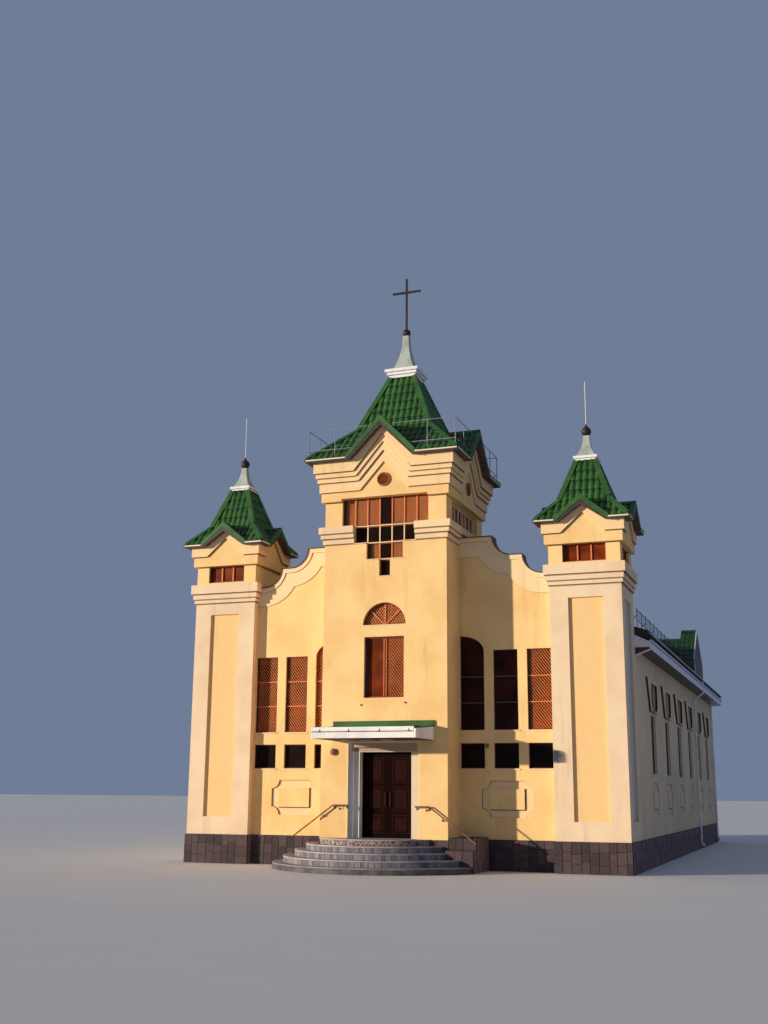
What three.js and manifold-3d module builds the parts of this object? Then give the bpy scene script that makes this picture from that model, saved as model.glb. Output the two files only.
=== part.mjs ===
// A modern church: a front of one central and two side towers joined by scroll walls, with a nave behind.
// Millimetres, +Z up. The front looks along -Y. The origin is on the ground, at the middle of the plan.
import * as THREE from "three";
import { mergeVertices } from "three/addons/utils/BufferGeometryUtils.js";
import Module from "manifold-3d";

const wasm = await Module();
wasm.setup();

// Driving dimensions; REACH is how far a cutter runs past what it cuts
const GAP = 0.3;
const REACH = 400;
const SLANT = 1.4;
const FLOOR_Z = 865;
const PLINTH_Z = 855;
const PLINTH_OUT = 28;
const REAR_Y = 26000;
const RISERS = 5;
const RISER = FLOOR_Z / RISERS;

// Side towers
const SIDE_X = 5838;
const SIDE_HALF = 1054;
const SIDE_Y = SIDE_HALF;
const SIDE_WALL = 250;
const BELFRY_WALL = 160;
const SIDE_CORNICE_Z = [8082, 8218, 8388, 8683];
const SIDE_CORNICE_OUT = [50, 85, 141];
const BELFRY_SILL_Z = 8750;
const BELFRY_WINDOW_HALF = 637;
const SIDE_PANEL_HALF = 507;
const SIDE_PANEL_Z = [1390, 7700];
const SIDE_PANEL_DEPTH = 75;

// Central tower
const MAIN_HALF = 1955;
const MAIN_FRONT_Y = -974;
const MAIN_Y = MAIN_FRONT_Y + MAIN_HALF;
const MAIN_WALL = 380;
const MAIN_FRONT_WALL = 560;
const MAIN_CORNICE_Z = [9534, 9700, 9850, 10061];
const MAIN_CORNICE_OUT = [52, 104, 156];
const BAND_WINDOW_Z = [10130, 10800];
const BAND_WINDOW_HALF = 1390;
const CROSS_ROWS = [
  { half: 1390, z0: 10055, z1: 10935 },
  { half: 980, z0: 9520, z1: 10060 },
  { half: 585, z0: 9000, z1: 9525 },
  { half: 175, z0: 8470, z1: 9005 },
];
const LUNETTE_Z = 6990;
const LUNETTE_R = 680;
const TALL_HALF = 625;
const TALL_Z = [4856, 6650];
const BAND_WALL = 200;
const GLASS_T = 50;
const GLASS_SETBACK = 150;
const GLASS_LAP = 60;

// Heads of the towers: bands that step outwards and follow the gables
const SIDE_HEAD = {
  bottom: 9291,
  eave: 9920,
  bands: [
    { out: 102, foot: 9291, half: 0, apex: 9291 },
    { out: 165, foot: 9610, half: 650, apex: 10200 },
  ],
  gableHalf: 690,
  gableApex: 10400,
  wall: 250,
};
const MAIN_HEAD = {
  bottom: 10859,
  eave: 12080,
  bands: [
    { out: 103, foot: 10859, half: 0, apex: 10859 },
    { out: 155, foot: 11154, half: 770, apex: 12012 },
    { out: 205, foot: 11450, half: 800, apex: 12360 },
    { out: 255, foot: 11600, half: 870, apex: 12630 },
    { out: 310, foot: 11750, half: 930, apex: 12880 },
  ],
  gableHalf: 1000,
  gableApex: 13080,
  wall: 380,
};

// Roofs of the towers: half width and height of the eave, the bend and the top
const SIDE_ROOF = { eaveHalf: 1411, tip: 9984, bendHalf: 776, bend: 10674, topHalf: 300, top: 12000 };
const MAIN_ROOF = { eaveHalf: 2470, tip: 12150, bendHalf: 1212, bend: 13360, topHalf: 410, top: 15290 };
const VERGE_T = 150;
const ROOF_T = 130;

// Pinnacles: white steps, a concave metal spire, a ball and a rod or a cross
const SIDE_PINNACLE = {
  steps: [[316, 12000, 12075], [362, 12075, 12150]],
  foot: 305,
  neck: 92,
  top: 12850,
  ballZ: 12995,
  ballR: 150,
};
const ROD_TOP = 14630;
const MAIN_PINNACLE = {
  steps: [[450, 15290, 15385], [505, 15385, 15480], [560, 15480, 15575]],
  foot: 380,
  neck: 100,
  top: 16850,
  ballZ: 16964,
  ballR: 140,
};
const CROSS_TOP = 18900;
const CROSS_BAR_Z = 18420;
const CROSS_BAR_HALF = 490;
const CROSS_T = 60;

// Scroll walls between the towers
const WING_Y = 250;
const WING_T = 350;
const WING_X0 = MAIN_HALF;
const WING_X1 = SIDE_X - SIDE_HALF;
const SCROLL_Z = [9730, 9130, 8530];
const SCROLL_CENTRES = [[3630, 9730], [4550, 9130]];
const SCROLL_R = 600;
const SCROLL_BANDS = [[600, 22], [150, 48]];
const WING_WINDOW_X = [2345, 3363, 4385];
const WING_WINDOW_HALF = 370;
const WING_TALL_Z = [3950, 6290];
const WING_SMALL_Z = [2850, 3575];
const QUARTER_RISE = 440;
const RELIEF_X = 3363;
const RELIEF = {
  half: 752,
  innerHalf: 505,
  z0: 1465,
  z1: 2500,
  notch: 248,
  innerZ0: 1700,
  innerZ1: 2270,
  depth: 45,
};

// Nave
const NAVE_HALF = SIDE_X + SIDE_HALF;
const NAVE_WALL = 350;
const NAVE_BAYS = 6;
const NAVE_BAY_Y0 = 5400;
const NAVE_PITCH = 3530;
const NAVE_LOW = { half: 540, z0: 2770, z1: 4600 };
const NAVE_HIGH = { footHalf: 540, half: 700, z0: 4760, bend: 4980, z1: 5600 };
const NAVE_PLATE = { footHalf: 800, half: 1380, z0: 4700, z1: 5740, out: 75 };
const REAR_WINDOW_X = [-5000, -1670, 1670, 5000];
const EAVE_HALF = 7400;
const EAVE_Z = [6370, 6600];
const EAVE_TOP_AT_WALL = 6820;
const EAVE_INSET = 40;
const ROOF_EDGE_Z = 6850;
const RIDGE_Z = 9250;
const NAVE_ROOF_T = 180;
const REAR_OVERHANG = 700;
const DORMER_Y = 17600;
const DORMER = { half: 1450, eave: 7370, ridge: 8525 };
const DORMER_T = 180;
const HOOD = { half: 1700, eave: 7500, ridge: 8870 };
const HOOD_X = [6600, 7240];
const TOWER_DOOR_HALF = 1200;
const TOWER_DOOR_TOP = 5200;

// Doorway
const PORTAL_TOP = 3600;
const PORTAL_STEPS = [
  { half: 1085, back: 95, top: 3545 },
  { half: 950, back: 190, top: 3430 },
  { half: 800, back: 535, top: 3300 },
];
const PORTAL_HALF = 1150;
const PORTAL_DEPTH = 535;
const FRAME_T = 35;
const FRAME_Y = [-530, -450];
const HINGE = { x: 762, y: -539, r: 8, knuckle: 60, plate: 26, z: [1050, 2000, 2950] };
const LEAF_T = 50;
const LEAF_FRONT_Y = -530;
const LEAF_OUTER_X = 759;
const LEAF_MEETING_X = 5.5;
const LEAF_Z = [875, 3258];
const HANDLE_X = 75;
const HANDLE_Z = [1750, 2150];
const HANDLE_OUT = 55;
const HANDLE_T = 24;
const HANDLE_STAY = 50;

// Steps, planter, canopy and handrails
const STEP_CENTRE = [-250, WING_Y];
const LANDING_R = 2100;
const TREAD = 330;
const PLANTER = {
  x0: MAIN_HALF + PLINTH_OUT + 5,
  x1: 2790,
  footY: -1360,
  footTop: 600,
  y0: -1025,
  top: 920,
  wall: 130,
  deep: 200,
};
const CANOPY = {
  half: 1560,
  front: -2620,
  z0: 3620,
  z1: 3885,
  back: 4015,
  upstand: 60,
  top: 4180,
};
const RAIL_R = 21;
const RAIL_OUT = 85;
const RAIL_LEFT = [[-1042, 1780], [-1513, 1780], [-2766, 889]];
const RAIL_RIGHT = [[1008, 1760], [1426, 1760], [2790, 785]];

const STEP_FRONT_Y = STEP_CENTRE[1] - LANDING_R - (RISERS - 1) * TREAD;
const PLAN_CENTRE_Y = (STEP_FRONT_Y + REAR_Y + REAR_OVERHANG) / 2;

// Materials
function paint(colour, roughness, metalness = 0) {
  return new THREE.MeshStandardMaterial({ color: colour, roughness, metalness });
}
const cream = paint(0xe3bf83, 0.85);
const pale = paint(0xd9d3c6, 0.8);
const trim = paint(0xe9d9bd, 0.8);
const stone = paint(0x8d8a88, 0.9);
const roofGreen = paint(0x2c5138, 0.5, 0.3);
const white = paint(0xe6e8ec, 0.55);
const frameBrown = paint(0x8a5230, 0.5);
const mahogany = paint(0x3c1d16, 0.4);
const zinc = paint(0x8f8a80, 0.45, 0.6);
const darkMetal = paint(0x3a322e, 0.4, 0.7);
const floorTone = paint(0x9b948a, 0.8);

// Solids: a geometry becomes a solid, and solids are joined and cut
function solid(geometry) {
  const bare = geometry.clone();
  bare.deleteAttribute("normal");
  bare.deleteAttribute("uv");
  const merged = mergeVertices(bare, 1e-3);
  const mesh = new wasm.Mesh({
    numProp: 3,
    vertProperties: new Float32Array(merged.attributes.position.array),
    triVerts: new Uint32Array(merged.index.array),
  });
  return new wasm.Manifold(mesh);
}

function box(x0, x1, y0, y1, z0, z1) {
  const geometry = new THREE.BoxGeometry(x1 - x0, y1 - y0, z1 - z0);
  geometry.translate((x0 + x1) / 2, (y0 + y1) / 2, (z0 + z1) / 2);
  return solid(geometry);
}

function outline(points) {
  return new THREE.Shape(points.map(([u, v]) => new THREE.Vector2(u, v)));
}

function extrude(shape, depth, curveSegments = 12) {
  return new THREE.ExtrudeGeometry(shape, { depth, bevelEnabled: false, curveSegments });
}

// An outline in X and Z, run along Y
function alongY(shape, y0, y1, curveSegments) {
  const geometry = extrude(shape, y1 - y0, curveSegments);
  geometry.rotateX(Math.PI / 2);
  geometry.translate(0, y1, 0);
  return solid(geometry);
}

// An outline in Y and Z, run along X
function alongX(shape, x0, x1, curveSegments) {
  const geometry = extrude(shape, x1 - x0, curveSegments);
  const turn = new THREE.Matrix4().makeBasis(
    new THREE.Vector3(0, 1, 0),
    new THREE.Vector3(0, 0, 1),
    new THREE.Vector3(1, 0, 0),
  );
  geometry.applyMatrix4(turn);
  geometry.translate(x0, 0, 0);
  return solid(geometry);
}

// An outline in X and Y, run up Z
function alongZ(shape, z0, z1, curveSegments) {
  const geometry = extrude(shape, z1 - z0, curveSegments);
  geometry.translate(0, 0, z0);
  return solid(geometry);
}

function join(...parts) {
  return parts.reduce((whole, part) => whole.add(part));
}

function cut(whole, ...parts) {
  return parts.reduce((rest, part) => rest.subtract(part), whole);
}

// A body drawn for the right side (+X), or its mirror image for the left
function onSide(side, body) {
  return side > 0 ? body : body.mirror([1, 0, 0]);
}

const group = new THREE.Group();
group.position.y = -PLAN_CENTRE_Y;
const building = new Map();

function add(name, body, material) {
  const { numProp, vertProperties, triVerts } = body.getMesh();
  const positions = new Float32Array((vertProperties.length / numProp) * 3);
  for (let i = 0; i < positions.length / 3; i += 1) {
    for (let axis = 0; axis < 3; axis += 1) {
      positions[i * 3 + axis] = vertProperties[i * numProp + axis];
    }
  }
  const geometry = new THREE.BufferGeometry();
  geometry.setAttribute("position", new THREE.BufferAttribute(positions, 3));
  geometry.setIndex(new THREE.BufferAttribute(new Uint32Array(triVerts), 1));
  geometry.computeVertexNormals();
  const mesh = new THREE.Mesh(geometry, material);
  mesh.name = name;
  group.add(mesh);
  building.set(name, body);
}

// A square block about an axis
function block(cx, cy, half, z0, z1) {
  return box(cx - half, cx + half, cy - half, cy + half, z0, z1);
}

// Square rings that step outwards, as a cornice
function cornice(cx, cy, half, inner, levels, outs) {
  let ring = null;
  outs.forEach((out, i) => {
    const step = cut(
      block(cx, cy, half + out, levels[i], levels[i + 1]),
      block(cx, cy, inner, levels[i] - 1, levels[i + 1] + 1),
    );
    ring = ring ? ring.add(step) : step;
  });
  return ring;
}

// Both directions of a gable line: what lies above it, about a tower's axis
function aboveGableLines(cx, cy, reach, band, top) {
  const half = Math.max(band.half, 1);
  const points = [
    [-reach, band.foot], [-half, band.foot], [0, band.apex], [half, band.foot],
    [reach, band.foot], [reach, top], [-reach, top],
  ];
  const front = alongY(outline(points), -reach, reach).translate([cx, cy, 0]);
  const side = alongX(outline(points), -reach, reach).translate([cx, cy, 0]);
  return front.intersect(side);
}

// The room under the gable roofs, in both directions
function gableRoom(cx, cy, reach, head, grow) {
  const half = head.gableHalf + grow;
  const apex = head.gableApex + grow * 1.4;
  const low = head.eave - 5 - grow;
  const points = [[-half, low], [half, low], [half, head.eave], [0, apex], [-half, head.eave]];
  const front = alongY(outline(points), -reach, reach).translate([cx, cy, 0]);
  const side = alongX(outline(points), -reach, reach).translate([cx, cy, 0]);
  return front.add(side);
}

function towerHead(cx, cy, half, head) {
  const top = head.gableApex + 500;
  const reach = half + 900;
  let bands = null;
  head.bands.forEach((band) => {
    const slab = block(cx, cy, half + band.out, head.bottom, top);
    const piece = slab.intersect(aboveGableLines(cx, cy, reach, band, top));
    bands = bands ? bands.add(piece) : piece;
  });
  const widest = half + head.bands[head.bands.length - 1].out;
  const below = block(cx, cy, widest + 10, head.bottom, head.eave - GAP);
  const room = gableRoom(cx, cy, widest + 10, head, -GAP);
  const hollow = block(cx, cy, half - head.wall, head.bottom - 1, top + 1);
  return cut(bands.intersect(below.add(room)), hollow);
}

// A square frustum between two levels, a little taller than asked so that parts join
function frustum(cx, cy, half0, z0, half1, z1) {
  const geometry = new THREE.CylinderGeometry(half1 * Math.SQRT2, half0 * Math.SQRT2, z1 - z0, 4, 1);
  geometry.rotateX(Math.PI / 2);
  geometry.rotateZ(Math.PI / 4);
  geometry.translate(cx, cy, (z0 + z1) / 2);
  return solid(geometry);
}

function roofForm(cx, cy, roof, head, drop) {
  const base = head.eave - drop;
  const skirt = frustum(cx, cy, roof.eaveHalf, roof.tip - drop, roof.bendHalf, roof.bend - drop);
  const steep = frustum(cx, cy, roof.bendHalf, roof.bend - drop, roof.topHalf, roof.top - drop);
  const edge = block(cx, cy, roof.eaveHalf, base, roof.tip - drop);
  const half = head.gableHalf + VERGE_T * 1.25;
  const apex = head.gableApex + VERGE_T * 1.5;
  const points = [
    [-half, base], [half, base], [half, head.eave - drop], [0, apex - drop], [-half, head.eave - drop],
  ];
  const reach = roof.eaveHalf;
  const front = alongY(outline(points), -reach, reach).translate([cx, cy, 0]);
  const side = alongX(outline(points), -reach, reach).translate([cx, cy, 0]);
  return join(edge, skirt, steep, front, side);
}

function towerRoof(cx, cy, half, roof, head) {
  const form = roofForm(cx, cy, roof, head, 0);
  const inside = roofForm(cx, cy, roof, head, ROOF_T).intersect(
    block(cx, cy, half - head.wall, head.eave - ROOF_T - 10, roof.top),
  );
  const under = block(cx, cy, half - head.wall, head.eave - 10, head.eave + ROOF_T);
  const room = gableRoom(cx, cy, roof.eaveHalf + 10, head, 0);
  return cut(form, inside, under, room);
}

// A concave four-sided spire: stacked frustums on a curve
function spire(cx, cy, z0, z1, foot, neck) {
  const steps = 6;
  const halfAt = (t) => neck + (foot - neck) * (1 - t) ** 2.2;
  let body = null;
  for (let i = 0; i < steps; i += 1) {
    const low = z0 + ((z1 - z0) * i) / steps;
    const high = z0 + ((z1 - z0) * (i + 1)) / steps;
    const piece = frustum(cx, cy, halfAt(i / steps), low, halfAt((i + 1) / steps), high);
    body = body ? body.add(piece) : piece;
  }
  return body;
}

function ball(cx, cy, z, r) {
  const geometry = new THREE.SphereGeometry(r, 20, 12);
  geometry.rotateX(Math.PI / 2);
  geometry.translate(cx, cy, z);
  return solid(geometry);
}

function rod(cx, cy, z0, z1, r) {
  const geometry = new THREE.CylinderGeometry(r, r, z1 - z0, 10, 1);
  geometry.rotateX(Math.PI / 2);
  geometry.translate(cx, cy, (z0 + z1) / 2);
  return solid(geometry);
}

// The small cone that a ball ends in
function ballTip(cx, cy, pin) {
  const foot = pin.ballZ + pin.ballR * 0.85;
  const height = pin.ballR * 0.65;
  const geometry = new THREE.CylinderGeometry(12, pin.ballR * 0.5, height, 12, 1);
  geometry.rotateX(Math.PI / 2);
  geometry.translate(cx, cy, foot + height / 2);
  return solid(geometry);
}

function pinnacleBase(cx, cy, pinnacle) {
  return join(...pinnacle.steps.map(([half, z0, z1], i) => block(cx, cy, half, i === 0 ? z0 + GAP : z0, z1)));
}

// Relief panel: a field with notched corners around a raised rectangle, in wall coordinates u and z
function reliefShape() {
  const { half, z0, z1, notch } = RELIEF;
  const shape = new THREE.Shape();
  shape.moveTo(-half + notch, z0);
  shape.lineTo(half - notch, z0);
  shape.absarc(half, z0, notch, Math.PI, Math.PI / 2, true);
  shape.lineTo(half, z1 - notch);
  shape.absarc(half, z1, notch, -Math.PI / 2, -Math.PI, true);
  shape.lineTo(-half + notch, z1);
  shape.absarc(-half, z1, notch, 0, -Math.PI / 2, true);
  shape.lineTo(-half, z0 + notch);
  shape.absarc(-half, z0, notch, Math.PI / 2, 0, true);
  return shape;
}

function reliefAlongY(centreX, y0, y1) {
  const field = alongY(reliefShape(), y0, y1, 4);
  const panel = box(-RELIEF.innerHalf, RELIEF.innerHalf, y0 - 1, y1 + 1, RELIEF.innerZ0, RELIEF.innerZ1);
  return cut(field, panel).translate([centreX, 0, 0]);
}

function reliefAlongX(centreY, x0, x1) {
  const field = alongX(reliefShape(), x0, x1, 4);
  const panel = box(x0 - 1, x1 + 1, -RELIEF.innerHalf, RELIEF.innerHalf, RELIEF.innerZ0, RELIEF.innerZ1);
  return cut(field, panel).translate([0, centreY, 0]);
}

// Side towers
function sideTower(side, name) {
  const cx = side * SIDE_X;
  const cy = SIDE_Y;
  const corniceTop = SIDE_CORNICE_Z[3];
  let shaft = join(
    block(cx, cy, SIDE_HALF + PLINTH_OUT, 0, PLINTH_Z),
    block(cx, cy, SIDE_HALF, 0, SIDE_HEAD.bottom - GAP),
    cornice(cx, cy, SIDE_HALF, SIDE_HALF - SIDE_WALL + 1, SIDE_CORNICE_Z, SIDE_CORNICE_OUT),
  );
  shaft = cut(
    shaft,
    block(cx, cy, SIDE_HALF - SIDE_WALL, -1, corniceTop),
    block(cx, cy, SIDE_HALF - BELFRY_WALL, corniceTop - 1, SIDE_HEAD.bottom + 1),
  );
  const reach = SIDE_HALF + REACH;
  const w = BELFRY_WINDOW_HALF;
  const window = box(-w, w, -reach, reach, BELFRY_SILL_Z, SIDE_HEAD.bottom + 1);
  const outer = onSide(side, box(0, reach, -w, w, BELFRY_SILL_Z, SIDE_HEAD.bottom + 1));
  shaft = cut(shaft, window.translate([cx, cy, 0]), outer.translate([cx, cy, 0]));
  const field = SIDE_HALF - SIDE_PANEL_DEPTH;
  const [p0, p1] = SIDE_PANEL_Z;
  const frontPanel = box(-SIDE_PANEL_HALF, SIDE_PANEL_HALF, -reach, -field, p0, p1);
  const sidePanel = box(field, reach, -SIDE_PANEL_HALF, SIDE_PANEL_HALF, p0, p1);
  shaft = cut(shaft, frontPanel.translate([cx, cy, 0]), onSide(side, sidePanel).translate([cx, cy, 0]));
  add(`${name}_shaft`, shaft, pale);

  const glass = cut(
    block(cx, cy, SIDE_HALF - BELFRY_WALL - GAP, corniceTop + GAP, SIDE_HEAD.bottom - GAP),
    block(cx, cy, SIDE_HALF - BELFRY_WALL - GLASS_T, corniceTop - 1, SIDE_HEAD.bottom + 1),
  );
  add(`${name}_belfry_glazing`, glass, frameBrown);
  add(`${name}_head`, towerHead(cx, cy, SIDE_HALF, SIDE_HEAD), cream);
  add(`${name}_roof`, towerRoof(cx, cy, SIDE_HALF, SIDE_ROOF, SIDE_HEAD), roofGreen);
  add(`${name}_pinnacle_base`, pinnacleBase(cx, cy, SIDE_PINNACLE), white);
  const pin = SIDE_PINNACLE;
  const top = join(
    spire(cx, cy, pin.steps[1][2] + GAP, pin.top, pin.foot, pin.neck),
    ball(cx, cy, pin.ballZ, pin.ballR),
    ballTip(cx, cy, pin),
    rod(cx, cy, pin.ballZ, ROD_TOP, 14),
  );
  add(`${name}_spire`, top, zinc);
}

// Central tower
function centralTower() {
  const x = MAIN_HALF;
  const y0 = MAIN_FRONT_Y;
  const y1 = MAIN_FRONT_Y + 2 * MAIN_HALF;
  const top = MAIN_HEAD.bottom - GAP;
  const frontBack = y0 + MAIN_FRONT_WALL;
  const pier = join(
    box(PORTAL_HALF + GAP, x, y0, frontBack, 0, PORTAL_TOP - GAP),
    box(PORTAL_HALF + GAP, x + PLINTH_OUT, y0 - PLINTH_OUT, frontBack, 0, PLINTH_Z),
  );
  const bandWindow = box(
    x - REACH, x + REACH, MAIN_Y - BAND_WINDOW_HALF, MAIN_Y + BAND_WINDOW_HALF,
    BAND_WINDOW_Z[0], BAND_WINDOW_Z[1],
  );
  const sideWall = cut(
    box(x - MAIN_WALL, x, frontBack + GAP, y1 - MAIN_WALL - GAP, 0, top),
    bandWindow,
    box(x - REACH, x - BAND_WALL, frontBack, y1, MAIN_CORNICE_Z[3], top + 1),
  );
  for (const [side, name] of [[-1, "left"], [1, "right"]]) {
    add(`tower_front_pier_${name}`, onSide(side, pier), cream);
    add(`tower_side_wall_${name}`, onSide(side, sideWall), cream);
  }

  let upper = box(-x, x, y0, frontBack, PORTAL_TOP, top);
  const through = [y0 - REACH, frontBack + REACH];
  for (const row of CROSS_ROWS) {
    upper = cut(upper, box(-row.half, row.half, through[0], through[1], row.z0, row.z1));
  }
  const lunette = new THREE.Shape();
  lunette.absarc(0, LUNETTE_Z, LUNETTE_R, 0, Math.PI, false);
  lunette.closePath();
  upper = cut(
    upper,
    alongY(lunette, through[0], through[1], 20),
    box(-TALL_HALF, TALL_HALF, through[0], through[1], TALL_Z[0], TALL_Z[1]),
  );
  add("tower_front_wall", upper, cream);

  let back = box(-x, x, y1 - MAIN_WALL, y1, 0, top);
  back = cut(
    back,
    box(-TOWER_DOOR_HALF, TOWER_DOOR_HALF, y1 - MAIN_WALL - 1, y1 + 1, -1, TOWER_DOOR_TOP),
    box(-BAND_WINDOW_HALF, BAND_WINDOW_HALF, y1 - MAIN_WALL - 1, y1 + 1, BAND_WINDOW_Z[0], BAND_WINDOW_Z[1]),
    box(-x + BAND_WALL, x - BAND_WALL, y1 - MAIN_WALL - 1, y1 - BAND_WALL, MAIN_CORNICE_Z[3], top + 1),
  );
  add("tower_back_wall", back, cream);

  // Glass: a sheet in the stepped opening, one each in the two below, and a band round the other sides
  const glassY = [y0 + GLASS_SETBACK, y0 + GLASS_SETBACK + GLASS_T];
  const rows = CROSS_ROWS.map((row, i) => box(
    -row.half + GAP, row.half - GAP, glassY[0], glassY[1],
    row.z0 + (i === CROSS_ROWS.length - 1 ? GAP : -6), row.z1 - GAP,
  ));
  const belowTop = box(-x, x, glassY[0] - 1, glassY[1] + 1, 0, CROSS_ROWS[0].z1 - GAP);
  const clipped = join(...rows).intersect(belowTop);
  const steps = CROSS_ROWS.slice(0, 3).map((row, i) => [row.z0, CROSS_ROWS[i + 1].half]);
  let cross = clipped;
  for (const [z, half] of steps) {
    cross = cut(
      cross,
      box(-x, -half + GAP, glassY[0] - 1, glassY[1] + 1, z - 7, z + GAP),
      box(half - GAP, x, glassY[0] - 1, glassY[1] + 1, z - 7, z + GAP),
    );
  }
  add("tower_cross_window", cross, frameBrown);
  const pane = new THREE.Shape();
  pane.absarc(0, LUNETTE_Z + GAP, LUNETTE_R - 1, 0, Math.PI, false);
  pane.closePath();
  add("tower_lunette_window", alongY(pane, glassY[0], glassY[1], 20), frameBrown);
  add(
    "tower_tall_window",
    box(-TALL_HALF + GAP, TALL_HALF - GAP, glassY[0], glassY[1], TALL_Z[0] + GAP, TALL_Z[1] - GAP),
    frameBrown,
  );
  const bandOut = x - BAND_WALL - GAP;
  const bandBack = y1 - BAND_WALL - GAP;
  const band = cut(
    box(-bandOut, bandOut, frontBack + GAP, bandBack, MAIN_CORNICE_Z[3] + GAP, top),
    box(
      -bandOut + GLASS_T, bandOut - GLASS_T, frontBack - 1, bandBack - GLASS_T,
      MAIN_CORNICE_Z[3] - 1, top + 1,
    ),
  );
  add("tower_band_glazing", band, frameBrown);

  const [widest, second] = CROSS_ROWS;
  const ring = cut(
    cornice(0, MAIN_Y, MAIN_HALF, MAIN_HALF + GAP, MAIN_CORNICE_Z, MAIN_CORNICE_OUT),
    box(-second.half, second.half, y0 - REACH, y0 + 1, MAIN_CORNICE_Z[0] - 1, MAIN_CORNICE_Z[3] + 1),
  );
  add("tower_cornice", ring, trim);

  const notch = box(-widest.half, widest.half, y0 - REACH, frontBack, MAIN_HEAD.bottom - 1, widest.z1);
  add("tower_head", cut(towerHead(0, MAIN_Y, MAIN_HALF, MAIN_HEAD), notch), cream);
  add("tower_roof", towerRoof(0, MAIN_Y, MAIN_HALF, MAIN_ROOF, MAIN_HEAD), roofGreen);
  const pin = MAIN_PINNACLE;
  add("tower_pinnacle_base", pinnacleBase(0, MAIN_Y, pin), white);
  add("tower_spire", spire(0, MAIN_Y, pin.steps[2][2] + GAP, pin.top, pin.foot, pin.neck), zinc);
  const t = CROSS_T / 2;
  const ballAndCross = join(
    cut(ball(0, MAIN_Y, pin.ballZ, pin.ballR), block(0, MAIN_Y, pin.foot, pin.steps[2][2], pin.top + GAP)),
    box(-t, t, MAIN_Y - t, MAIN_Y + t, pin.ballZ, CROSS_TOP),
    box(-CROSS_BAR_HALF, CROSS_BAR_HALF, MAIN_Y - t, MAIN_Y + t, CROSS_BAR_Z - t, CROSS_BAR_Z + t),
  );
  add("tower_ball_and_cross", ballAndCross, darkMetal);
}

// Doorway: stepped stone surround, frame and two leaves
function doorway() {
  const y0 = MAIN_FRONT_Y;
  let surround = box(-PORTAL_HALF, PORTAL_HALF, y0, y0 + PORTAL_DEPTH, FLOOR_Z + GAP, PORTAL_TOP - GAP);
  for (const step of PORTAL_STEPS) {
    surround = cut(surround, box(-step.half, step.half, y0 - 1, y0 + step.back + 1, 0, step.top));
  }
  add("portal_surround", surround, pale);

  const last = PORTAL_STEPS[PORTAL_STEPS.length - 1];
  const lowKnuckles = HINGE.z.map((z) => hingeKnuckle(1, z, z + HINGE.knuckle));
  const frame = cut(
    box(-last.half + GAP, last.half - GAP, FRAME_Y[0], FRAME_Y[1], FLOOR_Z + GAP, last.top - GAP),
    box(-last.half + FRAME_T, last.half - FRAME_T, FRAME_Y[0] - 1, FRAME_Y[1] + 1, 0, last.top - FRAME_T),
  );
  add("door_frame", join(frame, ...lowKnuckles, ...lowKnuckles.map((body) => onSide(-1, body))), mahogany);

  const grip = LEAF_FRONT_Y - HANDLE_OUT;
  const stays = [HANDLE_Z[0] + HANDLE_STAY, HANDLE_Z[1] - HANDLE_STAY].map((z) => box(
    HANDLE_X - HANDLE_T / 2, HANDLE_X + HANDLE_T / 2, grip + HANDLE_T / 2, LEAF_FRONT_Y + 1,
    z - HANDLE_T / 2, z + HANDLE_T / 2,
  ));
  const leaf = join(
    box(LEAF_MEETING_X, LEAF_OUTER_X, LEAF_FRONT_Y, LEAF_FRONT_Y + LEAF_T, LEAF_Z[0], LEAF_Z[1]),
    box(HANDLE_X - HANDLE_T / 2, HANDLE_X + HANDLE_T / 2, grip, grip + HANDLE_T, HANDLE_Z[0], HANDLE_Z[1]),
    ...stays,
    ...HINGE.z.map((z) => hingeKnuckle(-1, z + HINGE.knuckle + GAP, z + 2 * HINGE.knuckle)),
  );
  add("door_leaf_left", onSide(-1, leaf), mahogany);
  add("door_leaf_right", leaf, mahogany);
}

// A knuckle on the right hinge line, with its plate on the frame (away 1) or on the leaf (away -1)
function hingeKnuckle(away, z0, z1) {
  const { x, y, r, plate } = HINGE;
  const near = x + away * 2;
  const far = x + away * plate;
  return join(
    rod(x, y, z0, z1, r),
    box(Math.min(near, far), Math.max(near, far), y - 2, LEAF_FRONT_Y + 1, z0, z1),
  );
}

// Walls beside a tower leave room for its plinth and its cornice
function belts(cx, cy, half, levels, outs) {
  const foot = block(cx, cy, half + PLINTH_OUT + GAP, -10, PLINTH_Z + GAP);
  const mouldings = outs.map((out, i) => (
    block(cx, cy, half + out + GAP, levels[i] - GAP, levels[i + 1] + GAP)
  ));
  return join(foot, ...mouldings);
}

function clearOfTowers(body) {
  return cut(
    body,
    belts(-SIDE_X, SIDE_Y, SIDE_HALF, SIDE_CORNICE_Z, SIDE_CORNICE_OUT),
    belts(SIDE_X, SIDE_Y, SIDE_HALF, SIDE_CORNICE_Z, SIDE_CORNICE_OUT),
    belts(0, MAIN_Y, MAIN_HALF, MAIN_CORNICE_Z, MAIN_CORNICE_OUT),
  );
}

// One scroll wall between the central tower and a side tower
function scrollBody(inset, y0, y1) {
  const [[cx1, cz1], [cx2, cz2]] = SCROLL_CENTRES;
  const r = SCROLL_R + inset;
  const disc = (cx, cz) => {
    const shape = new THREE.Shape();
    shape.absarc(cx, cz, r, 0, 2 * Math.PI, false);
    return alongY(shape, y0 - 5, y1 + 5, 28);
  };
  return cut(
    box(WING_X0 + GAP, WING_X1 - GAP, y0, y1, 0, SCROLL_Z[0] - inset),
    box(cx1, WING_X1 + 100, y0 - 5, y1 + 5, SCROLL_Z[1] - inset, SCROLL_Z[0] + 10),
    box(cx2, WING_X1 + 100, y0 - 5, y1 + 5, SCROLL_Z[2] - inset, SCROLL_Z[0] + 10),
    disc(cx1, cz1),
    disc(cx2, cz2),
  );
}

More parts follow.
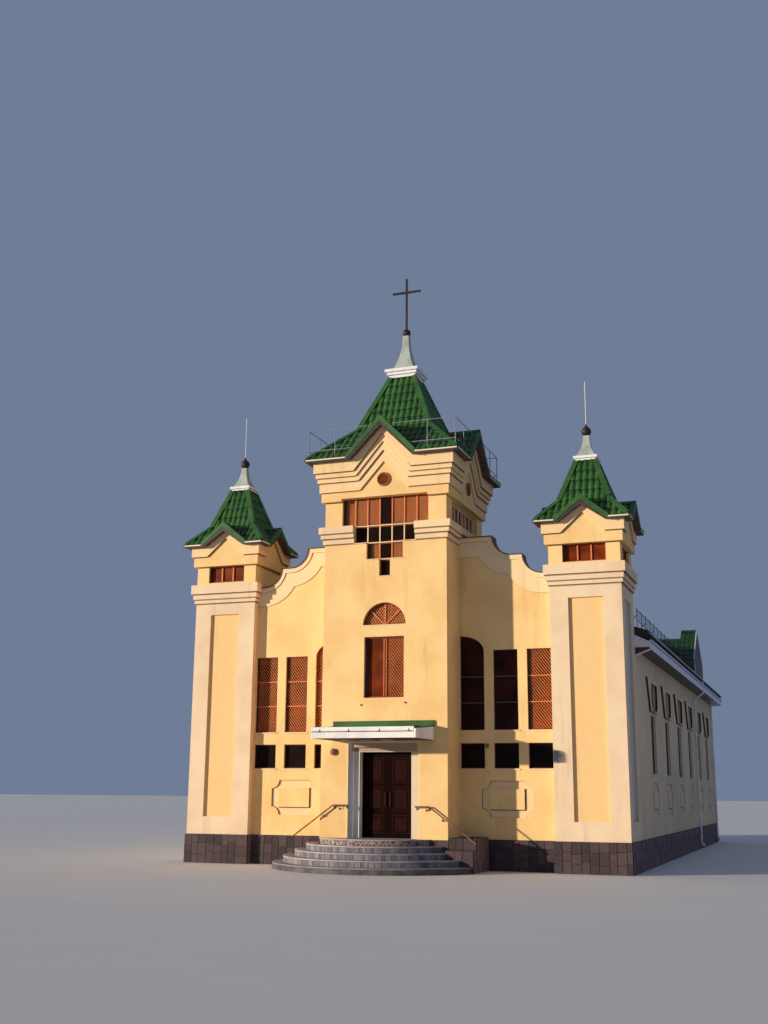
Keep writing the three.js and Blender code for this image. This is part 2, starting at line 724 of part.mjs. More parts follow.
function wing(side, name) {
  const y0 = WING_Y;
  const y1 = WING_Y + WING_T;
  let wall = scrollBody(0, y0, y1);
  for (const [inset, out] of SCROLL_BANDS) {
    wall = wall.add(cut(scrollBody(0, y0 - out, y0 + 5), scrollBody(inset, y0 - out - 2, y0 + 7)));
  }
  const plinthX = [WING_X0 + PLINTH_OUT + GAP, WING_X1 - PLINTH_OUT - GAP];
  wall = wall.add(box(plinthX[0], plinthX[1], y0 - PLINTH_OUT, y0 + 10, 0, PLINTH_Z));
  const w = WING_WINDOW_HALF;
  const holes = [];
  WING_WINDOW_X.forEach((x, i) => {
    const [s0, s1] = WING_SMALL_Z;
    const [t0, t1] = WING_TALL_Z;
    holes.push(box(x - w, x + w, y0 - 100, y1 + 10, s0, s1));
    const shape = new THREE.Shape();
    shape.moveTo(x - w, t0);
    shape.lineTo(x + w, t0);
    shape.lineTo(x + w, t1);
    if (i === 0) {
      shape.absellipse(x - w, t1 - 30, 2 * w, QUARTER_RISE + 30, 0.05, Math.PI / 2, false, 0);
    } else {
      shape.lineTo(x - w, t1);
    }
    shape.closePath();
    holes.push(alongY(shape, y0 - 100, y1 + 10, 10));
  });
  wall = cut(wall, ...holes, reliefAlongY(RELIEF_X, y0 - 60, y0 + RELIEF.depth));
  const glazing = box(
    WING_WINDOW_X[0] - w, WING_WINDOW_X[2] + w, y1 + GAP, y1 + GAP + GLASS_T,
    WING_SMALL_Z[0] - GLASS_LAP, WING_TALL_Z[1] + QUARTER_RISE,
  );
  add(`${name}_wing_wall`, onSide(side, clearOfTowers(wall)), cream);
  add(`${name}_wing_glazing`, onSide(side, glazing), frameBrown);
}

// Nave
function naveSlope() {
  return (RIDGE_Z - ROOF_EDGE_Z) / EAVE_HALF;
}

function roofUndersideAt(x) {
  return ROOF_EDGE_Z + (EAVE_HALF - Math.abs(x)) * naveSlope() - NAVE_ROOF_T;
}

// One bay of nave windows in wall coordinates: a tall slot and a wider one above it, flared at its foot
function naveSlots() {
  const low = NAVE_LOW;
  const high = NAVE_HIGH;
  return [
    outline([[-low.half, low.z0], [low.half, low.z0], [low.half, low.z1], [-low.half, low.z1]]),
    outline([
      [-high.footHalf, high.z0], [high.footHalf, high.z0], [high.half, high.bend],
      [high.half, high.z1], [-high.half, high.z1], [-high.half, high.bend],
    ]),
  ];
}

// The raised plate that flares out round the upper slot
function navePlate() {
  const { footHalf, half, z0, z1 } = NAVE_PLATE;
  return outline([[-footHalf, z0], [footHalf, z0], [half, z1], [-half, z1]]);
}

function nave() {
  const x = NAVE_HALF;
  const inner = NAVE_HALF - NAVE_WALL;
  const y0 = 2 * SIDE_HALF + GAP;
  const wallTop = roofUndersideAt(x) - GAP;
  for (const [side, name] of [[-1, "left"], [1, "right"]]) {
    let wall = join(
      box(inner, x, y0, REAR_Y, 0, wallTop),
      box(x - 5, x + PLINTH_OUT, y0 + PLINTH_OUT, REAR_Y + PLINTH_OUT, 0, PLINTH_Z),
    );
    const cuts = [];
    for (let bay = 0; bay < NAVE_BAYS; bay += 1) {
      const y = NAVE_BAY_Y0 + bay * NAVE_PITCH;
      wall = wall.add(alongX(navePlate(), x - 5, x + NAVE_PLATE.out).translate([0, y, 0]));
      cuts.push(...naveSlots().map((slot) => alongX(slot, inner - REACH, x + REACH).translate([0, y, 0])));
      cuts.push(reliefAlongX(y, x - RELIEF.depth, x + NAVE_PLATE.out));
    }
    wall = cut(wall, ...cuts);
    const first = NAVE_BAY_Y0 - NAVE_HIGH.half;
    const last = NAVE_BAY_Y0 + (NAVE_BAYS - 1) * NAVE_PITCH + NAVE_HIGH.half;
    const glass = box(
      inner - GAP - GLASS_T, inner - GAP, first - GLASS_LAP, last + GLASS_LAP,
      NAVE_LOW.z0 - GLASS_LAP, NAVE_HIGH.z1 + GLASS_LAP,
    );
    const fasciaX = EAVE_HALF - EAVE_INSET;
    const eaves = alongY(
      outline([
        [x + GAP, EAVE_Z[0]], [fasciaX, EAVE_Z[0]], [fasciaX, EAVE_Z[1]], [x + GAP, EAVE_TOP_AT_WALL],
      ]),
      y0, REAR_Y + REAR_OVERHANG - EAVE_INSET,
    );
    add(`nave_wall_${name}`, onSide(side, clearOfTowers(wall)), cream);
    add(`nave_glazing_${name}`, onSide(side, glass), frameBrown);
    add(`nave_eaves_${name}`, onSide(side, eaves), white);
  }

  const slopeZ = (u) => roofUndersideAt(u) - GAP;
  const rearOutline = outline([
    [-inner + GAP, 0], [inner - GAP, 0], [inner - GAP, slopeZ(inner)],
    [0, slopeZ(0)], [-inner + GAP, slopeZ(inner)],
  ]);
  let rear = alongY(rearOutline, REAR_Y - NAVE_WALL, REAR_Y);
  rear = rear.add(box(-inner + GAP, inner - GAP, REAR_Y - 5, REAR_Y + PLINTH_OUT, 0, PLINTH_Z));
  for (const wx of REAR_WINDOW_X) {
    rear = rear.add(alongY(navePlate(), REAR_Y - 5, REAR_Y + NAVE_PLATE.out).translate([wx, 0, 0]));
    const through = [REAR_Y - NAVE_WALL - REACH, REAR_Y + REACH];
    rear = cut(
      rear,
      ...naveSlots().map((slot) => alongY(slot, through[0], through[1]).translate([wx, 0, 0])),
      reliefAlongY(wx, REAR_Y - RELIEF.depth, REAR_Y + NAVE_PLATE.out),
    );
  }
  add("nave_rear_wall", rear, cream);
  const rearReach = REAR_WINDOW_X[3] + NAVE_HIGH.half + GLASS_LAP;
  const rearGlass = box(
    -rearReach, rearReach, REAR_Y - NAVE_WALL - GAP - GLASS_T, REAR_Y - NAVE_WALL - GAP,
    NAVE_LOW.z0 - GLASS_LAP, NAVE_HIGH.z1 + GLASS_LAP,
  );
  add("nave_glazing_rear", rearGlass, frameBrown);
  naveRoof();
}

// A small gable across the nave, with upright cheeks, as an outline run along X
function crossGable({ half, eave, ridge }, x0, x1) {
  const foot = ROOF_EDGE_Z;
  const points = [[-half, foot], [half, foot], [half, eave], [0, ridge], [-half, eave]];
  return alongX(outline(points), x0, x1).translate([0, DORMER_Y, 0]);
}

// Two slopes that meet at the ridge, and a hollow gable with a hood on each
function naveRoof() {
  const yFront = WING_Y + WING_T + GAP;
  const yEnd = REAR_Y + REAR_OVERHANG;
  const under = ROOF_EDGE_Z - NAVE_ROOF_T;
  const slope = alongY(
    outline([
      [GAP / 2, RIDGE_Z - NAVE_ROOF_T], [EAVE_HALF, under], [EAVE_HALF, ROOF_EDGE_Z], [GAP / 2, RIDGE_Z],
    ]),
    yFront, yEnd,
  );
  const corner = box(WING_X1 - 1, EAVE_HALF + REACH, yFront - REACH, 2 * SIDE_HALF + GAP, 0, CROSS_TOP);
  const centre = block(0, MAIN_Y, MAIN_HALF + GAP, 0, CROSS_TOP);
  const wide = EAVE_HALF + REACH;
  const wideZ = ROOF_EDGE_Z - REACH * naveSlope() + GAP;
  const belowSlope = alongY(
    outline([[-wide, 0], [wide, 0], [wide, wideZ], [0, RIDGE_Z + GAP], [-wide, wideZ]]),
    yFront - REACH, yEnd + REACH,
  );
  const outside = join(
    crossGable(DORMER, MAIN_HALF, HOOD_X[0] + 1),
    crossGable(HOOD, HOOD_X[0], HOOD_X[1]),
  );
  const room = {
    half: DORMER.half - DORMER_T,
    eave: DORMER.eave - DORMER_T / 2,
    ridge: DORMER.ridge - DORMER_T * SLANT,
  };
  const gable = cut(outside, crossGable(room, 0, NAVE_HALF - NAVE_WALL), belowSlope);
  for (const [side, name] of [[-1, "left"], [1, "right"]]) {
    add(`nave_roof_${name}`, onSide(side, cut(slope, corner, centre)), roofGreen);
    add(`cross_gable_${name}`, onSide(side, gable), roofGreen);
  }
}

// Floor inside, with the foundation under the doorway
function floor() {
  const inner = NAVE_HALF - NAVE_WALL - GAP;
  const top = FLOOR_Z;
  const low = FLOOR_Z - 250;
  const towerIn = MAIN_HALF - MAIN_WALL - GAP;
  const frontBack = MAIN_FRONT_Y + MAIN_FRONT_WALL + GAP;
  const backIn = MAIN_FRONT_Y + 2 * MAIN_HALF;
  let slab = cut(
    box(-inner, inner, WING_Y + WING_T + GAP, REAR_Y - NAVE_WALL - GAP, low, top),
    block(0, MAIN_Y, MAIN_HALF + GAP, 0, 2000),
    block(-SIDE_X, SIDE_Y, SIDE_HALF + PLINTH_OUT + GAP, 0, 2000),
    block(SIDE_X, SIDE_Y, SIDE_HALF + PLINTH_OUT + GAP, 0, 2000),
  );
  slab = join(
    slab,
    box(-towerIn, towerIn, frontBack, backIn - MAIN_WALL - GAP, low, top),
    box(-TOWER_DOOR_HALF + GAP, TOWER_DOOR_HALF - GAP, backIn - MAIN_WALL - 10, backIn + 10, low, top),
    box(-PORTAL_HALF, PORTAL_HALF, frontBack - 1, frontBack + 200, low, top),
    box(-PORTAL_HALF, PORTAL_HALF, MAIN_FRONT_Y, frontBack, 0, top),
  );
  add("floor_slab", slab, floorTone);
}

// Round steps, each a layer of its own, round the foot of the central tower
function steps() {
  const [cx, cy] = STEP_CENTRE;
  const wallGap = PLINTH_OUT + GAP;
  for (let level = 0; level < RISERS; level += 1) {
    const r = LANDING_R + (RISERS - 1 - level) * TREAD;
    const disc = new THREE.Shape();
    disc.absarc(cx, cy, r, 0, 2 * Math.PI, false);
    const z0 = level * RISER;
    const z1 = (level + 1) * RISER - (level === RISERS - 1 ? 0 : GAP);
    const backEdge = level === RISERS - 1 ? MAIN_FRONT_Y - wallGap : WING_Y - wallGap;
    const layer = cut(
      alongZ(disc, z0, z1, 40),
      box(-9000, 9000, backEdge, 9000, -10, 2000),
      box(-MAIN_HALF - wallGap, MAIN_HALF + wallGap, MAIN_FRONT_Y - wallGap, 9000, -10, 2000),
      box(MAIN_HALF, 9000, PLANTER.footY - GAP, 9000, -10, 2000),
    );
    const name = level === RISERS - 1 ? "landing" : `step_${level + 1}`;
    add(name, layer, stone);
  }
  const p = PLANTER;
  const y1 = WING_Y - wallGap;
  const planter = cut(
    join(box(p.x0, p.x1, p.footY, y1, 0, p.footTop), box(p.x0, p.x1, p.y0, y1, 0, p.top)),
    box(p.x0 + p.wall, p.x1 - p.wall, p.y0 + p.wall, y1 - p.wall, p.top - p.deep, p.top + 1),
  );
  add("planter", planter, stone);
}

function canopy() {
  const c = CANOPY;
  const y = MAIN_FRONT_Y - GAP;
  const body = alongX(
    outline([
      [c.front, c.z0], [y, c.z0], [y, c.top],
      [y - c.upstand, c.top], [y - c.upstand, c.back], [c.front, c.z1],
    ]),
    -c.half, c.half,
  );
  add("canopy", body, white);
}

// A bar from one point to another
function bar(from, to, r) {
  const a = new THREE.Vector3(...from);
  const b = new THREE.Vector3(...to);
  const along = b.clone().sub(a);
  const geometry = new THREE.CylinderGeometry(r, r, along.length(), 10, 1);
  const turn = new THREE.Quaternion();
  turn.setFromUnitVectors(new THREE.Vector3(0, 1, 0), along.clone().normalize());
  geometry.applyQuaternion(turn);
  const middle = a.add(b).multiplyScalar(0.5);
  geometry.translate(middle.x, middle.y, middle.z);
  return solid(geometry);
}

function knuckle(point, r) {
  const geometry = new THREE.SphereGeometry(r, 10, 8);
  geometry.translate(...point);
  return solid(geometry);
}

function handrail(name, route) {
  const y = MAIN_FRONT_Y - RAIL_OUT;
  const wall = MAIN_FRONT_Y - GAP;
  const points = route.map(([x, z]) => [x, y, z]);
  const parts = [];
  for (let i = 0; i + 1 < points.length; i += 1) {
    parts.push(bar(points[i], points[i + 1], RAIL_R));
    parts.push(knuckle(points[i], RAIL_R));
  }
  for (const t of [0.1, 0.95]) {
    const x = points[0][0] + (points[1][0] - points[0][0]) * t;
    parts.push(bar([x, wall - 7, points[0][2] - 60], [x, y, points[0][2] - 10], 10));
    parts.push(box(x - 30, x + 30, wall - 12, wall, points[0][2] - 95, points[0][2] - 25));
  }
  add(name, join(...parts), darkMetal);
}

sideTower(-1, "left_tower");
sideTower(1, "right_tower");
centralTower();
doorway();
wing(-1, "left");
wing(1, "right");
nave();
floor();
steps();
canopy();
handrail("handrail_left", RAIL_LEFT);
handrail("handrail_right", RAIL_RIGHT);

export default group;
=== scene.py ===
"""Looks of a modern church: three towers, scroll walls, a long nave and a canopied entrance."""
import math
import random
from collections import defaultdict

import bmesh
import bpy
from mathutils import Matrix, Vector


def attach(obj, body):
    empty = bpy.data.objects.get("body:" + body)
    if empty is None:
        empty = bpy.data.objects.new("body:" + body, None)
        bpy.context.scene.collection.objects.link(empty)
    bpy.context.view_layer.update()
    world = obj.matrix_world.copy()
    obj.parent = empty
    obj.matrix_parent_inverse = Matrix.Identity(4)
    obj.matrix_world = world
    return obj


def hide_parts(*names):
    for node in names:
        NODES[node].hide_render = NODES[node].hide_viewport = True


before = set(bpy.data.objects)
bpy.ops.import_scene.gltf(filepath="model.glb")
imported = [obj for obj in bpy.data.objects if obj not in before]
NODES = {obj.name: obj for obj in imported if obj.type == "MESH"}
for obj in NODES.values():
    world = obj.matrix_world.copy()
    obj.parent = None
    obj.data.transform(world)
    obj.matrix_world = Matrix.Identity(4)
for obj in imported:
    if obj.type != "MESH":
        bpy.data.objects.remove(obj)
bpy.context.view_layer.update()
UP = Vector((0, 0, 1))
RANDOM = random.Random(7)

# Sizes shared with the frame, in metres; PLAN_SHIFT leads from the source's y to the frame's
PLAN_SHIFT = 11.765
SIDE_X = 5.838
SIDE_HALF = 1.054
SIDE_Y = -10.711
MAIN_HALF = 1.955
MAIN_Y = -10.784
WING_AT = 11.515
DOOR_AT = 12.739
NAVE_X = 6.892
REAR_Y = 14.235
PLINTH_TOP = 0.855
FLOOR_TOP = 0.865
RISER = FLOOR_TOP / 5
GLASS_BACK = -0.15
RELIEF_DEPTH = 0.045
EAVE_X = 7.4
EAVE_Z = 6.85
ROOF_SLOPE = 2.4 / 7.4
BAYS = [5.4 - PLAN_SHIFT + 3.53 * k for k in range(6)]
REAR_BAYS = (-5.0, -1.67, 1.67, 5.0)
SIDES = ((-1, "left"), (1, "right"))


# Walls and shapes
class Wall:
    """A flat wall seen from outside: u runs to the right, v up and w outwards from its face."""

    def __init__(self, u, at):
        self.u = Vector(u)
        self.w = self.u.cross(UP)
        self.at = at

    def point(self, u, v, w=0.0):
        return self.u * u + UP * v + self.w * (self.at + w)

    def matrix(self, centre, size, turned=0.0):
        """Takes a unit cube to a block with this centre and size, turned in the wall."""
        along = self.u * math.cos(turned) + UP * math.sin(turned)
        across = UP * math.cos(turned) - self.u * math.sin(turned)
        axes = (along * size[0], across * size[1], self.w * size[2])
        return Matrix([(*axis, 0) for axis in axes] + [(*self.point(*centre), 1)]).transposed()


FRONT = (1, 0, 0)
RIGHT = (0, 1, 0)
LEFT = (0, -1, 0)
BACK = (-1, 0, 0)
WING = Wall(FRONT, WING_AT)
DOOR_WALL = Wall(FRONT, DOOR_AT)


def side_wall(side, at):
    return Wall(RIGHT if side > 0 else LEFT, at)


def tower_walls(half, x=0.0, y=MAIN_Y):
    """The front, right, left and rear wall of a square tower, each with the u of its middle."""
    return (
        (Wall(FRONT, half - y), x),
        (Wall(RIGHT, half + x), y),
        (Wall(LEFT, half - x), -y),
        (Wall(BACK, half + y), -x),
    )


NAVE_WALLS = (
    ("right", Wall(RIGHT, NAVE_X), BAYS),
    ("left", Wall(LEFT, NAVE_X), [-bay for bay in BAYS]),
    ("rear", Wall(BACK, REAR_Y), REAR_BAYS),
)


def middle(pair):
    return (pair[0] + pair[1]) / 2


def span(pair):
    return pair[1] - pair[0]


def around(centre, half):
    return (centre - half, centre + half)


def deep(back, thick):
    return (back, back + thick)


def looped(points):
    """Each point with the next one, all the way round."""
    return zip(points, points[1:] + points[:1])


def turn(a, b, c):
    """Positive where the way from a over b to c bends to the left."""
    return (b[0] - a[0]) * (c[1] - a[1]) - (b[1] - a[1]) * (c[0] - a[0])


def rectangle(us, vs):
    return [(us[0], vs[0]), (us[1], vs[0]), (us[1], vs[1]), (us[0], vs[1])]


def arc(centre, rx, ry, start, end, count):
    angles = [start + (end - start) * i / count for i in range(count + 1)]
    return [(centre[0] + rx * math.cos(angle), centre[1] + ry * math.sin(angle)) for angle in angles]


def block(bm, wall, us, vs, ws):
    matrix = wall.matrix((middle(us), middle(vs), middle(ws)), (span(us), span(vs), span(ws)))
    return bmesh.ops.create_cube(bm, size=1, matrix=matrix)["verts"]


def bar(bm, wall, a, b, width, ws):
    """A straight bar in a wall from a to b."""
    du = b[0] - a[0]
    dv = b[1] - a[1]
    centre = (middle((a[0], b[0])), middle((a[1], b[1])), middle(ws))
    matrix = wall.matrix(centre, (math.hypot(du, dv), width, span(ws)), math.atan2(dv, du))
    bmesh.ops.create_cube(bm, size=1, matrix=matrix)


def rod(bm, a, b, radius, sides=8, end_radius=None):
    a = Vector(a)
    b = Vector(b)
    along = b - a
    turned = along.to_track_quat("Z", "Y").to_matrix().to_4x4()
    bmesh.ops.create_cone(
        bm, cap_ends=True, segments=sides, depth=along.length,
        radius1=radius, radius2=radius if end_radius is None else end_radius,
        matrix=Matrix.Translation((a + b) / 2) @ turned,
    )


def ball(bm, centre, radius, detail=2):
    bmesh.ops.create_icosphere(bm, subdivisions=detail, radius=radius, matrix=Matrix.Translation(centre))


def pipe(bm, points, radius, sides=10):
    """Rods along a route, with a ball at each bend."""
    for a, b in zip(points, points[1:]):
        rod(bm, a, b, radius, sides)
    for point in points[1:-1]:
        ball(bm, Vector(point), radius * 1.04)


def pushed(bm, faces, shift):
    """Extrudes faces and moves the new ones."""
    made = bmesh.ops.extrude_face_region(bm, geom=faces)["geom"]
    verts = [item for item in made if isinstance(item, bmesh.types.BMVert)]
    bmesh.ops.translate(bm, verts=verts, vec=shift)
    return verts


def loft(bm, near, far):
    """A closed form whose outline goes from one list of points to another."""
    face = bm.faces.new([bm.verts.new(point) for point in near])
    for vert in pushed(bm, [face], Vector((0, 0, 0))):
        index = min(range(len(near)), key=lambda i: (near[i] - vert.co).length)
        vert.co = far[index]


def plate(bm, wall, outline, ws):
    loft(bm, *([wall.point(u, v, w) for u, v in outline] for w in ws))


def moulding(bm, wall, us, profile):
    """A form of one section, given in (w, v), along a wall."""
    loft(bm, *([wall.point(u, v, w) for w, v in profile] for u in us))


def rim(bm, wall, outline, width, ws):
    """A frame that follows an outline on its inside."""
    face = bm.faces.new([bm.verts.new(wall.point(u, v, ws[0])) for u, v in outline])
    face.normal_update()
    ring = bmesh.ops.inset_region(bm, faces=[face], thickness=width, use_even_offset=True, use_boundary=True)
    bmesh.ops.delete(bm, geom=[face], context="FACES_ONLY")
    pushed(bm, ring["faces"], wall.w * span(ws))


def mitred(bm, profile, along, ends):
    """A moulding along an edge; each end is a plane, given by a point and a normal."""
    outlines = []
    for anchor, normal in ends:
        rate = along.dot(normal)
        outlines.append([point + along * ((anchor - point).dot(normal) / rate) for point in profile])
    loft(bm, *outlines)


def clipped(a, b, outline):
    """The part of a segment inside a convex outline that runs anticlockwise, or None."""
    low = 0.0
    high = 1.0
    for corner, following in looped(outline):
        inside_a = turn(corner, following, a)
        inside_b = turn(corner, following, b)
        if inside_a < 0 and inside_b < 0:
            return None
        if inside_a * inside_b < 0:
            t = inside_a / (inside_a - inside_b)
            if inside_a < 0:
                low = max(low, t)
            else:
                high = min(high, t)
    if high - low < 0.02:
        return None
    return [(a[0] + (b[0] - a[0]) * t, a[1] + (b[1] - a[1]) * t) for t in (low, high)]


LATTICE_STEP = (0.085, 0.11)


def lattice(bm, wall, outline, ws, step=LATTICE_STEP, width=0.011, both=True):
    """Thin diagonal bars across a window."""
    left = min(u for u, _ in outline)
    right = max(u for u, _ in outline)
    foot = min(v for _, v in outline)
    head = max(v for _, v in outline)
    run = (head - foot) * step[0] / step[1]
    for k in range(int((right - left + run) / step[0]) + 2):
        at = left - run + (k + 0.5) * step[0]
        lines = [((at, head), (at + run, foot)), ((at, foot), (at + run, head))]
        for a, b in lines[:2 if both else 1]:
            part = clipped(a, b, outline)
            if part:
                bar(bm, wall, *part, width, ws)


def piece(name, bm, material, slot, body="building", smooth=None):
    bmesh.ops.recalc_face_normals(bm, faces=bm.faces)
    mesh = bpy.data.meshes.new(name)
    bm.to_mesh(mesh)
    bm.free()
    if smooth is not None:
        mesh.shade_smooth()
        mesh.set_sharp_from_angle(angle=math.radians(smooth))
    mesh.materials.append(material)
    made = bpy.data.objects.new(name, mesh)
    bpy.context.scene.collection.objects.link(made)
    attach(made, body)
    return made


def place(parts, slot, paints, smooth=None):
    """One piece for each bmesh in parts, in the paint that stands beside its name."""
    for name, paint in paints.items():
        piece(name, parts[name], paint, slot, smooth=smooth)


# Materials; colours are as they look on a screen, from 0 to 255
def tone(red, green, blue):
    """A colour as the shader wants it."""
    parts = [value / 255 for value in (red, green, blue)]
    return (*(part / 12.92 if part <= 0.04045 else ((part + 0.055) / 1.055) ** 2.4 for part in parts), 1.0)


class Wire:
    """A node's output that sums can be written with."""

    def __init__(self, shader, socket):
        self.shader = shader
        self.socket = socket

    def math(self, operation, *values):
        return self.shader.node("ShaderNodeMath", {"operation": operation}, dict(enumerate(values)))

    def __add__(self, other):
        return self.math("ADD", self, other)

    def __mul__(self, other):
        return self.math("MULTIPLY", self, other)

    __radd__ = __add__
    __rmul__ = __mul__

    def __sub__(self, other):
        return self.math("SUBTRACT", self, other)

    def __rsub__(self, other):
        return self.math("SUBTRACT", other, self)

    def __gt__(self, other):
        return self.math("GREATER_THAN", self, other)

    def __lt__(self, other):
        return self.math("LESS_THAN", self, other)

    def __abs__(self):
        return self.math("ABSOLUTE", self)

    def above(self, other):
        return self.math("MAXIMUM", self, other)

    def below(self, other):
        return self.math("MINIMUM", self, other)


class Shader:
    def __init__(self, name, roughness=0.8, metallic=0.0, specular=0.5):
        self.material = bpy.data.materials.new(name)
        self.material.use_nodes = True
        self.tree = self.material.node_tree
        self.surface = self.tree.nodes["Principled BSDF"]
        finish = {"Roughness": roughness, "Metallic": metallic, "Specular IOR Level": specular}
        for key, value in finish.items():
            self.surface.inputs[key].default_value = value
        self.place = self.node("ShaderNodeTexCoord", output="Object")
        self.x, self.y, self.z = [
            self.node("ShaderNodeSeparateXYZ", {}, {0: self.place}, output=axis) for axis in "XYZ"
        ]

    def node(self, kind, settings=None, inputs=None, output=0):
        made = self.tree.nodes.new(kind)
        for key, value in (settings or {}).items():
            setattr(made, key, value)
        for key, value in (inputs or {}).items():
            if isinstance(value, Wire):
                self.tree.links.new(value.socket, made.inputs[key])
            else:
                made.inputs[key].default_value = value
        return Wire(self, made.outputs[output])

    def noise(self, scale, detail=3.0, roughness=0.55, stretch=(1, 1, 1)):
        where = self.node("ShaderNodeMapping", {}, {"Vector": self.place, "Scale": stretch})
        inputs = {"Vector": where, "Scale": scale, "Detail": detail, "Roughness": roughness}
        return self.node("ShaderNodeTexNoise", {}, inputs)

    def cells(self, scale, feature="F1"):
        inputs = {"Vector": self.place, "Scale": scale}
        return self.node("ShaderNodeTexVoronoi", {"feature": feature}, inputs, "Distance")

    def between(self, value, low, high, out_low=0.0, out_high=1.0):
        inputs = {"Value": value, "From Min": low, "From Max": high, "To Min": out_low, "To Max": out_high}
        return self.node("ShaderNodeMapRange", {"interpolation_type": "SMOOTHSTEP"}, inputs)

    def mix(self, a, b, factor, blend="MIX"):
        """Mixes colours, each a node's output or three numbers."""
        a, b = (value if isinstance(value, Wire) else tone(*value) for value in (a, b))
        settings = {"data_type": "RGBA", "blend_type": blend}
        return self.node("ShaderNodeMix", settings, {0: factor, 6: a, 7: b}, output=2)

    def facing(self, axis="Z"):
        """How much a surface looks along an axis, from -1 to 1."""
        normal = self.node("ShaderNodeTexCoord", output="Normal")
        return self.node("ShaderNodeSeparateXYZ", {}, {0: normal}, output=axis)

    def attribute(self, name):
        return self.node("ShaderNodeAttribute", {"attribute_name": name}, output="Fac")

    def finish(self, colour, roughness=None, height=None, depth=0.01, strength=1.0):
        self.tree.links.new(colour.socket, self.surface.inputs["Base Color"])
        if roughness is not None:
            self.tree.links.new(roughness.socket, self.surface.inputs["Roughness"])
        if height is not None:
            inputs = {"Height": height, "Distance": depth, "Strength": strength}
            normal = self.node("ShaderNodeBump", {}, inputs, output="Normal")
            self.tree.links.new(normal.socket, self.surface.inputs["Normal"])
        return self.material


CREAM = (245, 209, 146)
CREAM_DARK = (236, 194, 130)
PANEL = (240, 200, 140)
# A grey painted as shade on the sunk panels of the side towers' outer faces
OUTER_PANEL_SHADE = (196, 191, 184)
NAVE_CREAM = (228, 206, 172)
NAVE_CREAM_DARK = (214, 192, 160)
PALE = (237, 211, 178)
PALE_DARK = (226, 198, 165)
TRIM = (242, 214, 166)
PINK = (242, 208, 158)
FIELD = (238, 208, 158)
NAVE_FIELD = (220, 202, 176)
# The next two colours are painted shade: dark lines under ledges, and the narrow sides of the nave's window
# plates
SHADE_LINE = (112, 78, 54)
EDGE = (66, 46, 42)
STREAK = (150, 120, 92)
GRAIN = (222, 214, 205)
FOOT_SHADE = (44, 36, 38)


def plaster(name, colour, dark, zones=()):
    """Rough render with soft mottling and streaks; zones are (mask, colour) pairs made from the shader."""
    s = Shader(name, 0.88)
    base = s.mix(dark, colour, s.between(s.noise(0.8, 4), 0.3, 0.62))
    for mask, other in zones:
        base = s.mix(base, other, mask(s))
    streaks = s.between(s.noise(2.4, 4, 0.6, (1, 1, 0.09)), 0.56, 0.78, 0.0, 0.22)
    base = s.mix(base, STREAK, streaks, "MULTIPLY")
    grain = s.noise(34, 5, 0.65)
    base = s.mix(base, GRAIN, s.between(grain, 0.4, 0.75, 0.0, 0.35), "MULTIPLY")
    base = s.mix(base, FOOT_SHADE, s.between(s.z, PLINTH_TOP + 0.008, PLINTH_TOP))
    return s.finish(base, height=grain + s.noise(7, 3) * 0.6, depth=0.006, strength=0.7)


# Masks for parts of a wall
def close_to(value, centre, reach):
    return abs(value - centre) < reach


def main_axes(s):
    """How far a point lies from the two middle planes of the central tower."""
    return abs(s.x), abs(s.y - MAIN_Y)


def side_axes(s):
    """The same for the side tower on the point's side."""
    return abs(abs(s.x) - SIDE_X), abs(s.y - SIDE_Y)


def proud(axes, half):
    """The upper bands of a tower's head, which stand out from the rest."""
    def mask(s):
        a, b = axes(s)
        return a.above(b) > half + 0.11
    return mask


def side_panel(s):
    """The sunk panels of the side towers."""
    a, b = side_axes(s)
    return (a.above(b) < SIDE_HALF - 0.02) * (s.z > 1.385) * (s.z < 7.705)


# The sunk panels on the outer faces of the side towers, painted grey as shade.
def outer_panel_shade(s):
    return side_panel(s) * (abs(s.x) > SIDE_X + SIDE_HALF - 0.12)


def scroll_edge_shade(s):
    """The edge faces of the curved bands that look sideways or down, painted dark as shade and dirt."""
    edge = (abs(s.facing("Y")) < 0.3) * (s.facing() < 0.3)
    return edge * (s.z > 6.6) * (s.y < -WING_AT + 0.01)


def relief_field(s):
    """The recessed field of the relief panels of every wall."""
    sides = close_to(abs(s.x), NAVE_X - RELIEF_DEPTH, 0.012) * (s.y > -9.6)
    rear = close_to(s.y, REAR_Y - RELIEF_DEPTH, 0.012) * (abs(s.x) < 6.5)
    return (sides + (close_to(s.y, -WING_AT + RELIEF_DEPTH, 0.012) + rear)) * (s.z < 2.56)


def plate_side_shade(s):
    """The narrow sides of the raised plates round the nave's upper windows, painted dark as shade."""
    rear = close_to(s.y, REAR_Y + 0.035, 0.032) * (abs(s.x) < 6.6)
    return (close_to(abs(s.x), NAVE_X + 0.035, 0.032) + rear) * (s.z > 4.6)


SHADE_LINE_SHARE = 0.75


def shade_lines(*levels, width=0.02):
    """Dark lines of painted shade under ledges."""
    def mask(s):
        total = 0
        for level in levels:
            total = close_to(s.z, level - width, width) + total
        return total * SHADE_LINE_SHARE
    return mask


def gable_shade_lines(axes, bands, lit_rake, width=0.016):
    """The same lines along bands that rise to a gable: foot, half width and apex of each."""
    def mask(s):
        a, b = axes(s)
        across = a.below(b)
        total = 0
        for foot, half, apex in bands:
            rise = (1 - across * (1 / half)).above(0) * (apex - foot)
            total = close_to(s.z, rise + (foot - width), width) + total
        return total * SHADE_LINE_SHARE * (1 - lit_rake(s))
    return mask


def main_lit_rake(s):
    """The right rake of the front gable, where the ledges face the light and get no painted shade lines."""
    return (s.y < MAIN_Y - 1.9) * (s.x > 0.0) * (s.x < 0.8)


def side_lit_rake(s):
    """The same rake of the side gables."""
    right = (s.x > SIDE_X) + (s.x > -SIDE_X) * (s.x < 0.0)
    return (s.y < SIDE_Y - 1.0) * right * close_to(abs(s.x), SIDE_X, 0.65)


